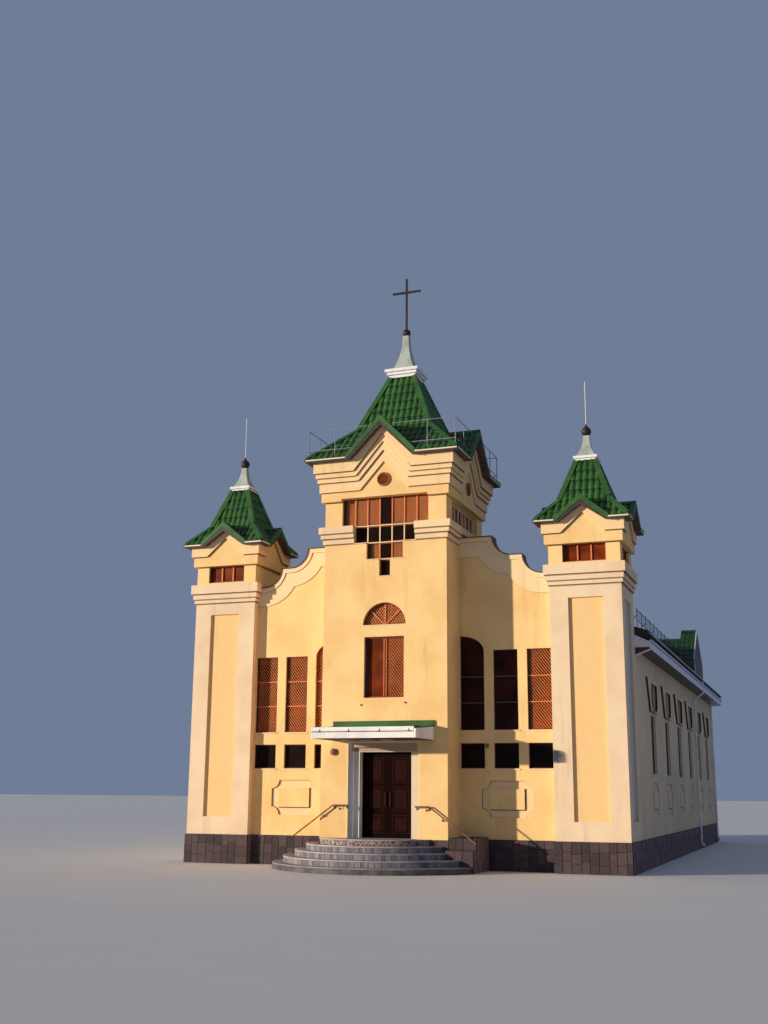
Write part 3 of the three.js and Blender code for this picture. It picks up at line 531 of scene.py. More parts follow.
MAIN_BANDS = ((11.154, 0.77, 12.012), (11.45, 0.8, 12.36), (11.6, 0.87, 12.63), (11.75, 0.93, 12.88))
SIDE_BANDS = ((9.61, 0.65, 10.2),)
BELFRY_FOOT = 8.684
main_shade_lines = (gable_shade_lines(main_axes, MAIN_BANDS, main_lit_rake), SHADE_LINE)
side_shade_lines = (gable_shade_lines(side_axes, SIDE_BANDS, side_lit_rake), SHADE_LINE)
cream = plaster("render_cream", CREAM, CREAM_DARK, [(shade_lines(9.534, 10.859), SHADE_LINE)])
cream_nave = plaster("render_cream_nave", NAVE_CREAM, NAVE_CREAM_DARK, [
    (relief_field, NAVE_FIELD), (plate_side_shade, EDGE),
])
cream_wing = plaster("render_cream_scroll", CREAM, CREAM_DARK, [
    (lambda s: (s.y < -WING_AT - 0.01) * (s.z > 6.0), TRIM), (relief_field, FIELD), (scroll_edge_shade, SHADE_LINE),
])
cream_head = plaster("render_cream_head", CREAM, CREAM_DARK, [
    (proud(main_axes, MAIN_HALF), PINK), main_shade_lines,
])
cream_side_head = plaster("render_cream_side_head", CREAM, CREAM_DARK, [
    (proud(side_axes, SIDE_HALF), PINK), side_shade_lines,
])
pale = plaster("render_pale", PALE, PALE_DARK, [
    (side_panel, PANEL), (outer_panel_shade, OUTER_PANEL_SHADE), (lambda s: s.z > BELFRY_FOOT, CREAM),
    (shade_lines(8.082, 8.218, 8.388, 9.291), SHADE_LINE),
])
trim = plaster("render_trim", TRIM, PALE_DARK, [(shade_lines(9.7, 9.85), SHADE_LINE)])
mullion_paint = plaster("mullion_paint", TRIM, PALE_DARK)
oculus_paint = plaster("oculus_paint", (152, 100, 62), (122, 78, 48))
# Portal plaster: near white as painted light on the shaded left side, a darker beige on the right side that
# the light reaches, the lintel painted dark as the canopy's shadow, and a cream front face
portal_stone = plaster("portal_plaster", (246, 242, 234), (228, 224, 218), [
    (lambda s: s.x > 0.3, (218, 200, 172)),
    (lambda s: (s.z > 3.31) * (abs(s.x) < 1.0), (176, 152, 132)),
    (lambda s: s.y < -12.73, CREAM),
])


def roof_paint(name, light, dark, trough_shade=None):
    """Painted roof metal; the third colour is painted shade between the waves of the tiles and under the step
    of each course.
    """
    s = Shader(name, 0.5, specular=0.3)
    colour = s.mix(dark, light, s.between(s.noise(1.3, 4), 0.3, 0.68))
    if trough_shade is not None:
        colour = s.mix(trough_shade, colour, s.between(s.attribute("crest_light"), 0.03, 0.36))
    colour = s.mix(colour, (96, 128, 72), s.between(s.noise(9, 5, 0.6), 0.5, 0.75, 0.0, 0.3))
    rough = s.between(s.noise(5, 3), 0.3, 0.7, 0.42, 0.62)
    return s.finish(colour, rough, s.noise(60, 2), 0.001, 0.4)


roof_tile = roof_paint("roof_tile", (56, 110, 44), (38, 84, 32), (8, 32, 8))
roof_trim = roof_paint("roof_trim", (54, 100, 46), (40, 80, 36))
# The nave's roof and cross gables in a darker, bluer green: painted shade for the shadow that their
# surroundings cast
nave_tile_shaded = roof_paint("nave_roof_tile_shaded", (24, 70, 38), (18, 52, 30), (8, 34, 18))
nave_trim_shaded = roof_paint("nave_roof_trim_shaded", (24, 66, 44), (18, 50, 36))


def soffited(name, shade_dark, shade_light):
    """Roof metal above, edges painted dark as shade, and brownish boards below."""
    s = Shader(name, 0.6)
    up = s.facing()
    green = s.mix((38, 82, 42), (52, 100, 50), s.between(s.noise(1.3, 4), 0.3, 0.68))
    boards = s.between(s.noise(3, 3, 0.6, (1, 1, 4)), 0.35, 0.7)
    brown = s.mix((74, 50, 52), (104, 74, 72), boards)
    edge = s.mix(shade_dark, shade_light, boards)
    colour = s.mix(brown, edge, s.between(up, -0.35, -0.12))
    colour = s.mix(colour, green, s.between(up, 0.08, 0.14))
    return s.finish(colour, height=s.noise(25, 4), depth=0.002, strength=0.5)


# Near-black roof edges and grey-green sides of the cross gables: painted shade
roof_body = soffited("roof_body", (30, 30, 32), (52, 46, 46))
gable_body = soffited("cross_gable_body", (64, 76, 74), (92, 98, 96))


def coated(
    name, light, dark, rough=0.4, stain=(120, 112, 104), amount=0.3, metallic=0.0, zones=(), soffit=None,
):
    """Painted or bare sheet metal with weathering; zones are heights from which another colour starts, and
    soffit is a dark brown painted as shade on the faces that look down.
    """
    s = Shader(name, rough, metallic, 0.3)
    colour = s.mix(dark, light, s.between(s.noise(2.2, 4), 0.3, 0.7))
    colour = s.mix(colour, stain, s.between(s.noise(5, 5, 0.65, (1, 1, 0.25)), 0.55, 0.8, 0.0, amount))
    for start, other in zones:
        colour = s.mix(colour, other, s.z > start)
    # Painted shade on the faces that look down
    if soffit is not None:
        colour = s.mix(colour, soffit, s.facing() < -0.5)
    varied = s.between(s.noise(12, 3), 0.3, 0.7, rough - 0.08, rough + 0.12)
    return s.finish(colour, varied, s.noise(4, 2), 0.004, 0.3)


ZINC = ((176, 186, 178), (148, 158, 152), 0.5, (112, 112, 106), 0.5)
BALL_FOOT = 12.85
ROD_FOOT = 13.24
white_metal = coated("white_coated_metal", (240, 238, 236), (222, 221, 226))
# Their undersides get a dark brown as painted shade
fascia_metal = coated("fascia_metal", (232, 228, 240), (212, 210, 226), soffit=(74, 58, 54))
canopy_metal = coated("canopy_metal", (250, 247, 240), (236, 232, 230), soffit=(72, 56, 50))
strip_metal = coated("eaves_strip", (244, 222, 200), (226, 204, 184))
gable_trim = coated("cross_gable_trim", (182, 186, 178), (156, 160, 154))
sill_metal = coated("nave_sill", (206, 202, 200), (182, 178, 178))
# Near black for the nave's gutters and the boards behind them: painted shade
shade_black_metal = coated("gutter_painted_shade", (26, 26, 30), (14, 14, 18), 0.6)
zinc = coated("spire_zinc", *ZINC)
side_zinc = coated("side_spire_zinc", *ZINC, zones=((BALL_FOOT, (52, 34, 30)), (ROD_FOOT, (214, 208, 200))))
dark_metal = coated("dark_metal", (62, 46, 44), (40, 30, 32), 0.35, (84, 66, 58), 0.4)
rail_metal = coated("bronze_rail", (150, 108, 80), (110, 76, 60), 0.4, (160, 126, 100), 0.4, 0.2)
grey_rail = coated("railing_grey", (150, 150, 158), (120, 120, 128), 0.5, (96, 84, 76), 0.5)
coping_metal = coated("coping_metal", (84, 64, 58), (60, 46, 44), 0.5, (50, 42, 40), 0.4)
# Dark brown for the canopy's soffit and the end boards of the eaves: painted shade
soffit_shade_paint = coated("soffit_painted_shade", (80, 62, 58), (58, 44, 42), 0.6, (44, 34, 32), 0.5)
lamp_glass = coated("lamp_glass", (245, 242, 232), (228, 224, 214), 0.25, (200, 196, 186), 0.2)
amber_glass = coated("lamp_amber", (140, 96, 76), (108, 70, 56), 0.25, (84, 56, 46), 0.3)


def glazing(name, light, dark, roughness):
    s = Shader(name, roughness, specular=0.08)
    colour = s.mix(dark, light, s.between(s.noise(1.6, 3), 0.35, 0.68))
    colour = s.mix(colour, dark, s.between(s.cells(9), 0.02, 0.1, 0.25, 0.0))
    return s.finish(colour, height=s.noise(4, 2), depth=0.004, strength=0.25)


brown_glass = glazing("glass_brown", (132, 56, 22), (92, 34, 12), 0.4)
shaded_glass = glazing("glass_shaded", (58, 26, 16), (34, 14, 10), 0.35)
dark_glass = glazing("glass_dark", (34, 15, 9), (16, 7, 5), 0.3)
mauve_glass = glazing("glass_mauve", (92, 80, 78), (60, 50, 48), 0.35)


def timber(name, light, dark, roughness=0.45, specular=0.35, grip=None):
    """Stained wood; grip is the colour of the door handles."""
    s = Shader(name, roughness, specular=specular)
    grain = s.noise(3.2, 6, 0.6, (14, 14, 1))
    colour = s.mix(dark, light, s.between(grain, 0.32, 0.68))
    if grip is not None:
        colour = s.mix(colour, grip, (s.y < -12.297) * (abs(s.x) < 0.11))
    return s.finish(colour, height=grain, depth=0.0015, strength=0.5)


window_frame = timber("window_frame", (140, 60, 24), (98, 36, 14))
window_bar = timber("window_transom", (232, 140, 82), (206, 114, 62))
lattice_bar = timber("window_lattice", (240, 164, 100), (222, 140, 80))
dark_frame = timber("window_dark_frame", (72, 38, 24), (48, 24, 16))
nave_frame = timber("nave_window_frame", (104, 86, 80), (74, 58, 54))
mahogany = timber("door_mahogany", (28, 6, 5), (14, 3, 3), 0.6, 0.03, (66, 42, 28))
mahogany_trim = timber("door_mouldings", (46, 13, 9), (26, 7, 6), 0.55, 0.05)


def ashlar(name, light, dark, warm, sides=None):
    """Cut stone; sides is a lighter colour that the faces looking along x lean to, painted light on their
    shade.
    """
    s = Shader(name, 0.85)
    colour = s.mix(dark, light, s.between(s.attribute("tone"), 0.0, 1.0))
    colour = s.mix(colour, warm, s.between(s.noise(5, 4), 0.45, 0.72, 0.0, 0.6))
    speckle = s.noise(70, 4, 0.7)
    colour = s.mix(colour, (160, 146, 142), s.between(speckle, 0.58, 0.75, 0.0, 0.3))
    # Painted light: faces that look along x are made lighter
    if sides is not None:
        colour = s.mix(colour, sides, (abs(s.facing("X")) > 0.5) * 0.55)
    return s.finish(colour, height=s.noise(18, 5, 0.6) + speckle * 0.3, depth=0.02, strength=0.9)


plinth_stone = ashlar("plinth_stone", (82, 65, 68), (54, 43, 48), (72, 54, 50), (128, 108, 112))
riser_stone = ashlar("riser_stone", (140, 136, 144), (98, 95, 104), (112, 104, 104))
TREAD_LIGHT = (142, 138, 142)
TREAD_DARK = (112, 108, 112)


def mottled(s, light, dark):
    return s.mix(dark, light, s.between(s.noise(1.8, 5), 0.3, 0.7))


def speckled(s, colour, speckle, amount):
    """Gives stone a fine speckle and grain, and finishes it."""
    colour = s.mix(colour, speckle, s.between(s.noise(60, 3, 0.7), 0.55, 0.72, 0.0, amount))
    return s.finish(colour, height=s.noise(40, 5, 0.7), depth=0.004, strength=0.6)


def paving(name, light, dark, speckle):
    s = Shader(name, 0.75)
    return speckled(s, mottled(s, light, dark), speckle, 0.5)


def tread(name):
    """Light stone on top, dark stone on the riser with a light edge above it."""
    s = Shader(name, 0.75)
    light = mottled(s, TREAD_LIGHT, TREAD_DARK)
    dark = s.mix((58, 54, 58), (98, 92, 94), s.between(s.noise(4, 5), 0.3, 0.7))
    edge = (s.z > RISER - 0.03) * (s.z < RISER + 0.001)
    return speckled(s, s.mix(dark, light, (s.facing() > 0.5).above(edge)), (120, 114, 116), 0.4)


def crazy_paving(name):
    """Split stones with light joints on the riser, plain light stone on top."""
    s = Shader(name, 0.8)
    split = s.mix((78, 54, 52), (126, 94, 88), s.between(s.noise(7, 3), 0.35, 0.65))
    joints = s.between(s.cells(9, "DISTANCE_TO_EDGE"), 0.05, 0.1, 1.0, 0.0)
    wall = s.mix(split, (164, 150, 144), joints)
    colour = s.mix(wall, mottled(s, TREAD_LIGHT, TREAD_DARK), s.facing() > 0.5)
    return s.finish(colour, height=s.noise(30, 4, 0.7) - joints * 0.5, depth=0.006, strength=0.6)


nosing_stone = paving("step_nosing", (170, 166, 170), (142, 138, 144), (112, 108, 112))
floor_stone = paving("floor_stone", (198, 188, 176), (176, 166, 154), (120, 110, 100))


def dress(material, *parts):
    """Gives a material to each node of the frame with one of these parts in its name."""
    for name, node in NODES.items():
        if any(part in name for part in parts):
            for slot in node.material_slots:
                slot.material = material


dress(pale, "tower_shaft")
dress(cream_head, "tower_head")
dress(cream_side_head, "left_tower_head", "right_tower_head")
dress(cream_wing, "wing_wall")
dress(trim, "tower_cornice")
dress(portal_stone, "portal_surround")
dress(cream, "tower_front_pier", "tower_front_wall", "tower_side_wall", "tower_back_wall")
dress(cream_nave, "nave_wall", "nave_rear_wall")
dress(roof_body, "tower_roof", "nave_roof")
dress(gable_body, "cross_gable")
dress(white_metal, "pinnacle_base")
dress(fascia_metal, "nave_eaves", "canopy")
dress(zinc, "tower_spire")
dress(side_zinc, "left_tower_spire", "right_tower_spire")
dress(dark_metal, "tower_ball_and_cross")
dress(rail_metal, "handrail")
dress(brown_glass, "wing_glazing", "cross_window", "lunette_window", "tall_window")
dress(dark_glass, "nave_glazing", "band_glazing", "belfry_glazing")
dress(mahogany, "door_frame", "door_leaf")
dress(floor_stone, "floor_slab")
dress(tread("step_stone"), "step_")
dress(crazy_paving("landing_stone"), "landing")
dress(plinth_stone, "planter")

# Tiled roofs: length of a course, the step between courses, and how far the sheet lies above the roof
COURSE = 0.35
STEP = 0.018
LIFT = 0.004
LAP = 0.012
SKIRT = 0.01
CAP_HALF = 0.1
CAP_TRIM = 0.07
CAP_LIFT = 0.008
FOLD = 0.005
VERGE_IN = 0.1
VERGE_OUT = 0.012
VERGE_DROP = 0.07
STRIP_DROP = 0.04
STRIP_IN = 0.02


def flat_faces(node):
    """A bmesh with the node's flat faces, each once."""
    bm = bmesh.new()
    bm.from_mesh(NODES[node].data)
    bmesh.ops.remove_doubles(bm, verts=bm.verts, dist=1e-4)
    bmesh.ops.dissolve_limit(bm, angle_limit=math.radians(1), verts=bm.verts, edges=bm.edges)
    bm.normal_update()
    return bm


def is_top(face):
    return 0.15 < face.normal.z < 0.99


def inside(point, outline):
    """Whether a flat point lies in an outline, by counting crossings."""
    found = False
    for (x0, y0), (x1, y1) in looped(outline):
        if (y0 > point[1]) != (y1 > point[1]) and point[0] < (x1 - x0) * (point[1] - y0) / (y1 - y0) + x0:
            found = not found
    return found


def is_convex(outline):
    return all(turn(a, b, c) >= -1e-6 for (a, b), c in zip(looped(outline), outline[2:] + outline[:2]))


def boundary(bm):
    return [edge for edge in bm.edges if edge.is_boundary]


def tile_sheet(face, pitch, wave, samples):
    """A sheet of waved tiles over one roof face, with a thin edge all round."""
    n = face.normal.copy()
    u = UP.cross(n).normalized()
    v = n.cross(u)
    corners = [vert.co.copy() for vert in face.verts]
    level = corners[0].dot(n)
    outline = [(corner.dot(u), corner.dot(v)) for corner in corners]
    us = [a for a, _ in outline]
    vs = [b for _, b in outline]
    centre = middle((min(us), max(us)))
    waves = math.ceil((max(us) - centre) / pitch) + 1
    columns = 2 * waves * samples
    rows = 2 * math.ceil((max(vs) - min(vs)) / COURSE)
    bm = bmesh.new()
    crest_light = bm.verts.layers.float.new("crest_light")
    bmesh.ops.create_grid(bm, x_segments=columns, y_segments=rows, size=0.5)
    for vert in bm.verts:
        i = round((vert.co.x + 0.5) * columns)
        j = round((vert.co.y + 0.5) * rows)
        lower = j % 2 == 0
        across = (i / samples - waves) * pitch
        swell = 0.5 + 0.5 * math.cos(2 * math.pi * i / samples)
        up_slope = min(vs) + ((j + 1) // 2) * COURSE - (0.0 if lower else LAP)
        height = level + LIFT + (STEP if lower else 0.0) + swell * wave
        vert.co = u * (centre + across) + v * up_slope + n * height
        # Painted shade: the value is low in the troughs and at the upper end of each course, under the next
        # course's step
        vert[crest_light] = swell * (1.0 if lower else 0.16)
    convex = is_convex(outline)
    for a, b in looped(corners):
        bmesh.ops.bisect_plane(
            bm, geom=[*bm.verts, *bm.edges, *bm.faces], dist=1e-5,
            plane_co=a, plane_no=(b - a).cross(n).normalized(), clear_outer=convex,
        )
    if not convex:
        centres = [(small, small.calc_center_median()) for small in bm.faces]
        strays = [small for small, spot in centres if not inside((spot.dot(u), spot.dot(v)), outline)]
        bmesh.ops.delete(bm, geom=strays, context="FACES")
    for item in bmesh.ops.extrude_edge_only(bm, edges=boundary(bm))["geom"]:
        if isinstance(item, bmesh.types.BMVert):
            item.co -= n * (item.co.dot(n) - level + SKIRT)
    bmesh.ops.holes_fill(bm, edges=boundary(bm), sides=0)
    bmesh.ops.recalc_face_normals(bm, faces=bm.faces)
    return bm


def tiles(name, source, pitch, wave, samples, paint):
    bm = bmesh.new()
    for face in source.faces:
        if is_top(face):
            sheet = tile_sheet(face, pitch, wave, samples)
            mesh = bpy.data.meshes.new("sheet")
            sheet.to_mesh(mesh)
            sheet.free()
            bm.from_mesh(mesh)
            bpy.data.meshes.remove(mesh)
    piece(name, bm, paint, "roof_green", smooth=40)


def inward(face, edge):
    """The direction in a face that leads away from one of its edges."""
    a, b = (vert.co for vert in edge.verts)
    side = face.normal.cross((b - a).normalized())
    return side if side.dot(face.calc_center_median() - a) > 0 else -side


def rising(edge):
    """An edge's lower end, its upper end and its direction."""
    a, b = sorted((vert.co for vert in edge.verts), key=lambda co: co.z)
    return a, b, (b - a).normalized()


def caps(bm, source, lift):
    """Flat caps on the ridges and hips."""
    for edge in source.edges:
        tops = [face for face in edge.link_faces if is_top(face)]
        if len(tops) != 2 or not edge.is_convex:
            continue
        a, b, along = rising(edge)
        start = a + along * (CAP_TRIM if abs(along.z) > 0.05 else 0)
        sides = [inward(face, edge) * CAP_HALF for face in tops]
        normals = [face.normal for face in tops]
        crown = (normals[0] + normals[1]).normalized()
        profile = [
            sides[0] + normals[0] * lift, crown * (lift / max(crown.dot(normals[0]), 0.3)),
            sides[1] + normals[1] * lift, sides[1] - normals[1] * FOLD, sides[0] - normals[0] * FOLD,
        ]
        loft(bm, [start + point for point in profile], [b + point for point in profile])


def verges(bm, white, source, lift, width=VERGE_IN, drop=VERGE_DROP, outer_x=0.0):
    """Folded flanges along the rakes beyond outer_x and, where white isn't None, strips under level eaves."""
    for edge in source.edges:
        tops = [face for face in edge.link_faces if is_top(face)]
        flats = [face for face in edge.link_faces if abs(face.normal.z) < 0.05]
        a, b, along = rising(edge)
        if len(tops) != 1 or len(flats) != 1 or not edge.is_convex or abs(a.x) < outer_x:
            continue
        n = tops[0].normal
        out = flats[0].normal
        if abs(along.z) > 0.1:
            into = inward(tops[0], edge) * width
            cut_normal = out.cross(UP)
            profile = [
                into + n * lift, out * VERGE_OUT + n * lift, out * VERGE_OUT - n * drop,
                -out * FOLD - n * drop, -out * FOLD - n * FOLD, into - n * FOLD,
            ]
            mitred(bm, [a + point for point in profile], along, ((a, cut_normal), (b, cut_normal)))
        elif white is not None:
            below = UP * STRIP_DROP
            profile = [out * VERGE_OUT, out * VERGE_OUT - below, -out * STRIP_IN - below, -out * STRIP_IN]
            ends = (a - along * VERGE_OUT, b + along * VERGE_OUT)
            loft(white, *([end + point for point in profile] for end in ends))


for node, pitch, wave in (
    ("tower_roof", 0.2, 0.03), ("left_tower_roof", 0.19, 0.028), ("right_tower_roof", 0.19, 0.028),
):
    source = flat_faces(node)
    tiles(f"{node}_tiles", source, pitch, wave, 6, roof_tile)
    metal = bmesh.new()
    white = bmesh.new()
    lift = wave + STEP + LIFT + CAP_LIFT
    caps(metal, source, lift)
    verges(metal, white, source, lift)
    piece(f"{node}_caps", metal, roof_trim, "roof_green")
    piece(f"{node}_fascia", white, strip_metal, "metal_white")
    source.free()

# The nave's roof: a deck drawn in from the edges so that the gutter and the verges fit
DECK_EAVE_X = 7.29
DECK_REAR_Y = 14.915
NAVE_TILING = (0.2, 0.026, 4, nave_tile_shaded)
NAVE_LIFT = 0.026 + STEP + LIFT + CAP_LIFT
HOOD_FRONT_X = 7.24
HOOD_Y = 17.6 - PLAN_SHIFT
HOOD_HALF = 1.69
HOOD_APEX = 8.64
LOUVRES = 16
LOUVRE_FOOT = 7.02
LOUVRE_STEP = 0.105
for side, name in SIDES:
    deck_form = flat_faces(f"nave_roof_{name}")
    for vert in deck_form.verts:
        if abs(vert.co.x) > DECK_EAVE_X:
            vert.co.z += (abs(vert.co.x) - DECK_EAVE_X) * ROOF_SLOPE
            vert.co.x = side * DECK_EAVE_X
        vert.co.y = min(vert.co.y, DECK_REAR_Y)
    deck_form.normal_update()
    source = deck_form.copy()
    deck = piece(f"nave_roof_deck_{name}", deck_form, roof_body, "roof_green")
    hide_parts(f"nave_roof_{name}")
    tiles(f"nave_tiles_{name}", source, *NAVE_TILING)
    metal = bmesh.new()
    verges(metal, None, source, NAVE_LIFT)
    piece(f"nave_verges_{name}", metal, dark_metal, "metal_dark")
    source.free()
    gable = flat_faces(f"cross_gable_{name}")
    tiles(f"cross_gable_tiles_{name}", gable, *NAVE_TILING)
    metal = bmesh.new()
    white = bmesh.new()
    caps(metal, gable, NAVE_LIFT)
    verges(white, None, gable, NAVE_LIFT, 0.03, 0.05, HOOD_FRONT_X - 0.05)
    gable.free()
    wall = side_wall(side, HOOD_FRONT_X)
    centre = side * HOOD_Y
    for end in (-1, 1):
        block(white, wall, sorted((centre + end * HOOD_HALF, centre + end * 1.42)), (6.94, 7.48), (0, 0.012))
    block(white, wall, around(centre, HOOD_HALF), (6.9, 6.97), (0, 0.014))
    piece(f"cross_gable_caps_{name}", metal, nave_trim_shaded, "roof_green")
    piece(f"cross_gable_verges_{name}", white, gable_trim, "metal_white")
    louvres = bmesh.new()
    for k in range(LOUVRES):
        v = LOUVRE_FOOT + k * LOUVRE_STEP
        block(louvres, wall, around(centre, min(1.38, (HOOD_APEX - v) / 0.83)), deep(v, 0.045), (0, 0.016))
    piece(f"cross_gable_louvres_{name}", louvres, dark_metal, "metal_dark")


# Windows
def window(
    kit, wall, outline, depth, frame_width, bars=(), latticed=False, both=True,
    sill=None, pane=None, thick=0.045, reveal_shadow=0.0,
):
    """A frame, its bars and the diagonal lattice; kit holds the bmeshes that the parts go to."""
    rim(kit["frames"], wall, outline, frame_width, deep(depth, thick))
    for a, b, width in bars:
        bar(kit["bars"], wall, a, b, width, deep(depth, 0.04))
    if latticed:
        lattice(kit["lattice"], wall, outline, deep(depth, 0.012), both=both)
    if pane:
        plate(kit[pane], wall, outline, (depth - 0.02, depth - 0.002))
    # Painted shadow: a dark board at the left edge, where the reveal's shadow falls on the glass
    if reveal_shadow:
        left = min(u for u, _ in outline)
        heights = [v for _, v in outline]
        vs = (min(heights), max(heights))
        block(kit["reveal_shadows"], wall, deep(left, reveal_shadow), vs, deep(depth, thick + 0.004))
    if sill:
        us, v, out = sill
        block(kit["sills"], wall, us, (v - 0.03, v + 0.018), (depth, out))


def place_kit(prefix, kit, frame_paint=window_frame, bar_paint=window_bar, sill_paint=mullion_paint):
    paints = {
        "frames": frame_paint, "bars": bar_paint, "lattice": lattice_bar, "sills": sill_paint,
        "reveal_shadows": dark_frame, "brown": brown_glass, "shaded": shaded_glass, "dark": dark_glass,
        "mauve": mauve_glass,
    }
    for key, paint in paints.items():
        if key in kit:
            piece(f"{prefix}_{key}", kit[key], paint, "metal_white" if key == "sills" else "window_brown")


WING_DEPTH = -0.1
WING_X = (2.345, 3.363, 4.385)
WING_HALF = 0.37
TALL = (3.95, 6.29)
SMALL = (2.85, 3.575)
TRANSOMS = (5.51, 4.75)
for side, name in SIDES:
    kit = defaultdict(bmesh.new)
    dim = defaultdict(bmesh.new)
    for index, centre in enumerate(WING_X):
        us = around(side * centre, WING_HALF)
        tall = rectangle(us, TALL)
        if index == 0:
            foot = side * (centre - WING_HALF)
            crown = arc((foot, 6.26), 2 * WING_HALF, 0.47, 0.05, math.pi / 2, 8)
            tall = [*tall[:2], *[(side * (u - foot) + foot, v) for u, v in crown][::side]]
        bars = [((us[0] + 0.03, z), (us[1] - 0.03, z), 0.028) for z in TRANSOMS]
        # The right wing's two inner tall windows are painted as shaded: darker glass, dark frames and no
        # lattice
        if side > 0 and index < 2:
            window(dim, WING, tall, WING_DEPTH, 0.03, bars, pane="shaded", thick=0.03)
        else:
            window(
                kit, WING, tall, WING_DEPTH, 0.035, bars, latticed=True, both=False,
                pane="brown", thick=0.035, reveal_shadow=0.06 if index else 0.0,
            )
        window(dim, WING, rectangle(us, SMALL), WING_DEPTH, 0.03, pane="dark", thick=0.03)
        for foot, _ in (TALL, SMALL):
            ledge = around(side * centre, WING_HALF + 0.03)
            block(kit["sills"], WING, ledge, (foot - 0.045, foot - 0.005), (-0.02, 0.025))
    place_kit(f"{name}_wing_window", kit)
    place_kit(f"{name}_wing_dim_window", dim, dark_frame, nave_frame)

# The cross window: half width, foot, head and number of panes of each row
CROSS_ROWS = (
    (1.39, 10.055, 10.935, 7),
    (0.98, 9.52, 10.06, 5),
    (0.585, 9.0, 9.525, 3),
    (0.175, 8.47, 9.005, 1),
)
MULLION_HALF = 0.018
kit = defaultdict(bmesh.new)
parts = defaultdict(bmesh.new)
for row, (half, z0, z1, count) in enumerate(CROSS_ROWS):
    lit = row in (0, 2)
    width = 2 * half / count
    top = z1 if row == 0 else z1 - 0.02
    pale_bars = parts["cross_window_mullions"]
    row_bars = kit["bars"] if lit else pale_bars
    for k in range(1, count):
        us = around(-half + k * width, MULLION_HALF)
        block(row_bars, DOOR_WALL, us, (z0, top), deep(GLASS_BACK, 0.04))
    block(pale_bars, DOOR_WALL, (-half, half), (z0 - 0.005, z0 + 0.025), deep(GLASS_BACK, 0.045))
    rim(kit["frames"], DOOR_WALL, rectangle((-half, half), (z0 + 0.02, top)), 0.03, deep(GLASS_BACK, 0.035))
    for k in range(count):
        us = (-half + k * width + MULLION_HALF, -half + (k + 1) * width - MULLION_HALF)
        pane = rectangle(us, (z0 + 0.025, top - 0.01))
        if lit and k != count // 2:
            lattice(kit["lattice"], DOOR_WALL, pane, deep(GLASS_BACK, 0.01))
        else:
            plate(parts["cross_window_dark_panes"], DOOR_WALL, pane, (GLASS_BACK - 0.005, GLASS_BACK + 0.012))
    # Painted shadow of the left reveal on the glass of these rows
    if lit:
        block(kit["reveal_shadows"], DOOR_WALL, deep(-half, 0.09), (z0 + 0.025, top), deep(GLASS_BACK, 0.038))
    below = CROSS_ROWS[row + 1][0] if row < 3 else 0
    for us in ((-half - 0.02, -below), (below, half + 0.02)):
        block(parts["cross_window_sills"], DOOR_WALL, us, around(z0, 0.012), (GLASS_BACK, 0.02))
place_kit("cross_window", kit)
place(parts, "render_trim", {"cross_window_mullions": mullion_paint})
place(parts, "window_brown", {"cross_window_dark_panes": dark_glass})
place(parts, "metal_white", {"cross_window_sills": mullion_paint})

# The lunette and the tall window of the central tower
LUNETTE_FOOT = 6.99
LUNETTE_R = 0.68
kit = defaultdict(bmesh.new)
half_disc = [(-LUNETTE_R, LUNETTE_FOOT), *arc((0, LUNETTE_FOOT), LUNETTE_R, LUNETTE_R, 0, math.pi, 20)[:-1]]
spoke_tips = arc((0, LUNETTE_FOOT), 0.66, 0.66, math.pi / 4, 0.75 * math.pi, 2)
spokes = [((0, 7.0), tip, 0.035) for tip in spoke_tips]
sill = ((-LUNETTE_R, LUNETTE_R), LUNETTE_FOOT, 0.0)
window(kit, DOOR_WALL, half_disc, GLASS_BACK, 0.05, spokes, True, sill=sill)
tall_bars = [((u, 4.9), (u, 6.61), 0.022) for u in (-0.035, 0.035)]
window(kit, DOOR_WALL, rectangle((-0.625, 0.625), (4.856, 6.65)), GLASS_BACK, 0.045, tall_bars, reveal_shadow=0.09)
right_leaf = rectangle((0.05, 0.58), (4.9, 6.6))
lattice(kit["lattice"], DOOR_WALL, right_leaf, deep(GLASS_BACK, 0.01), width=0.01, both=False)
place_kit("tower_front_window", kit)

# The belfry windows, which the inner walls don't have
BELFRY_HALF = 0.637
BELFRY_DEPTH = -0.13
BELFRY_Z = (8.75, 9.291)
kit = defaultdict(bmesh.new)
for side, _ in SIDES:
    walls = tower_walls(SIDE_HALF, side * SIDE_X, SIDE_Y)
    for wall, centre in (walls[0], walls[3], walls[1 if side > 0 else 2]):
        us = around(centre, BELFRY_HALF)
        bars = [((centre + d, 8.76), (centre + d, 9.285), 0.04) for d in (-0.2, 0.2)]
        window(kit, wall, rectangle(us, BELFRY_Z), BELFRY_DEPTH, 0.045, bars, pane="brown", reveal_shadow=0.06)
        block(kit["sills"], wall, (us[0] - 0.01, us[1] + 0.01), (8.735, 8.752), (BELFRY_DEPTH, 0.012))
place_kit("belfry", kit)

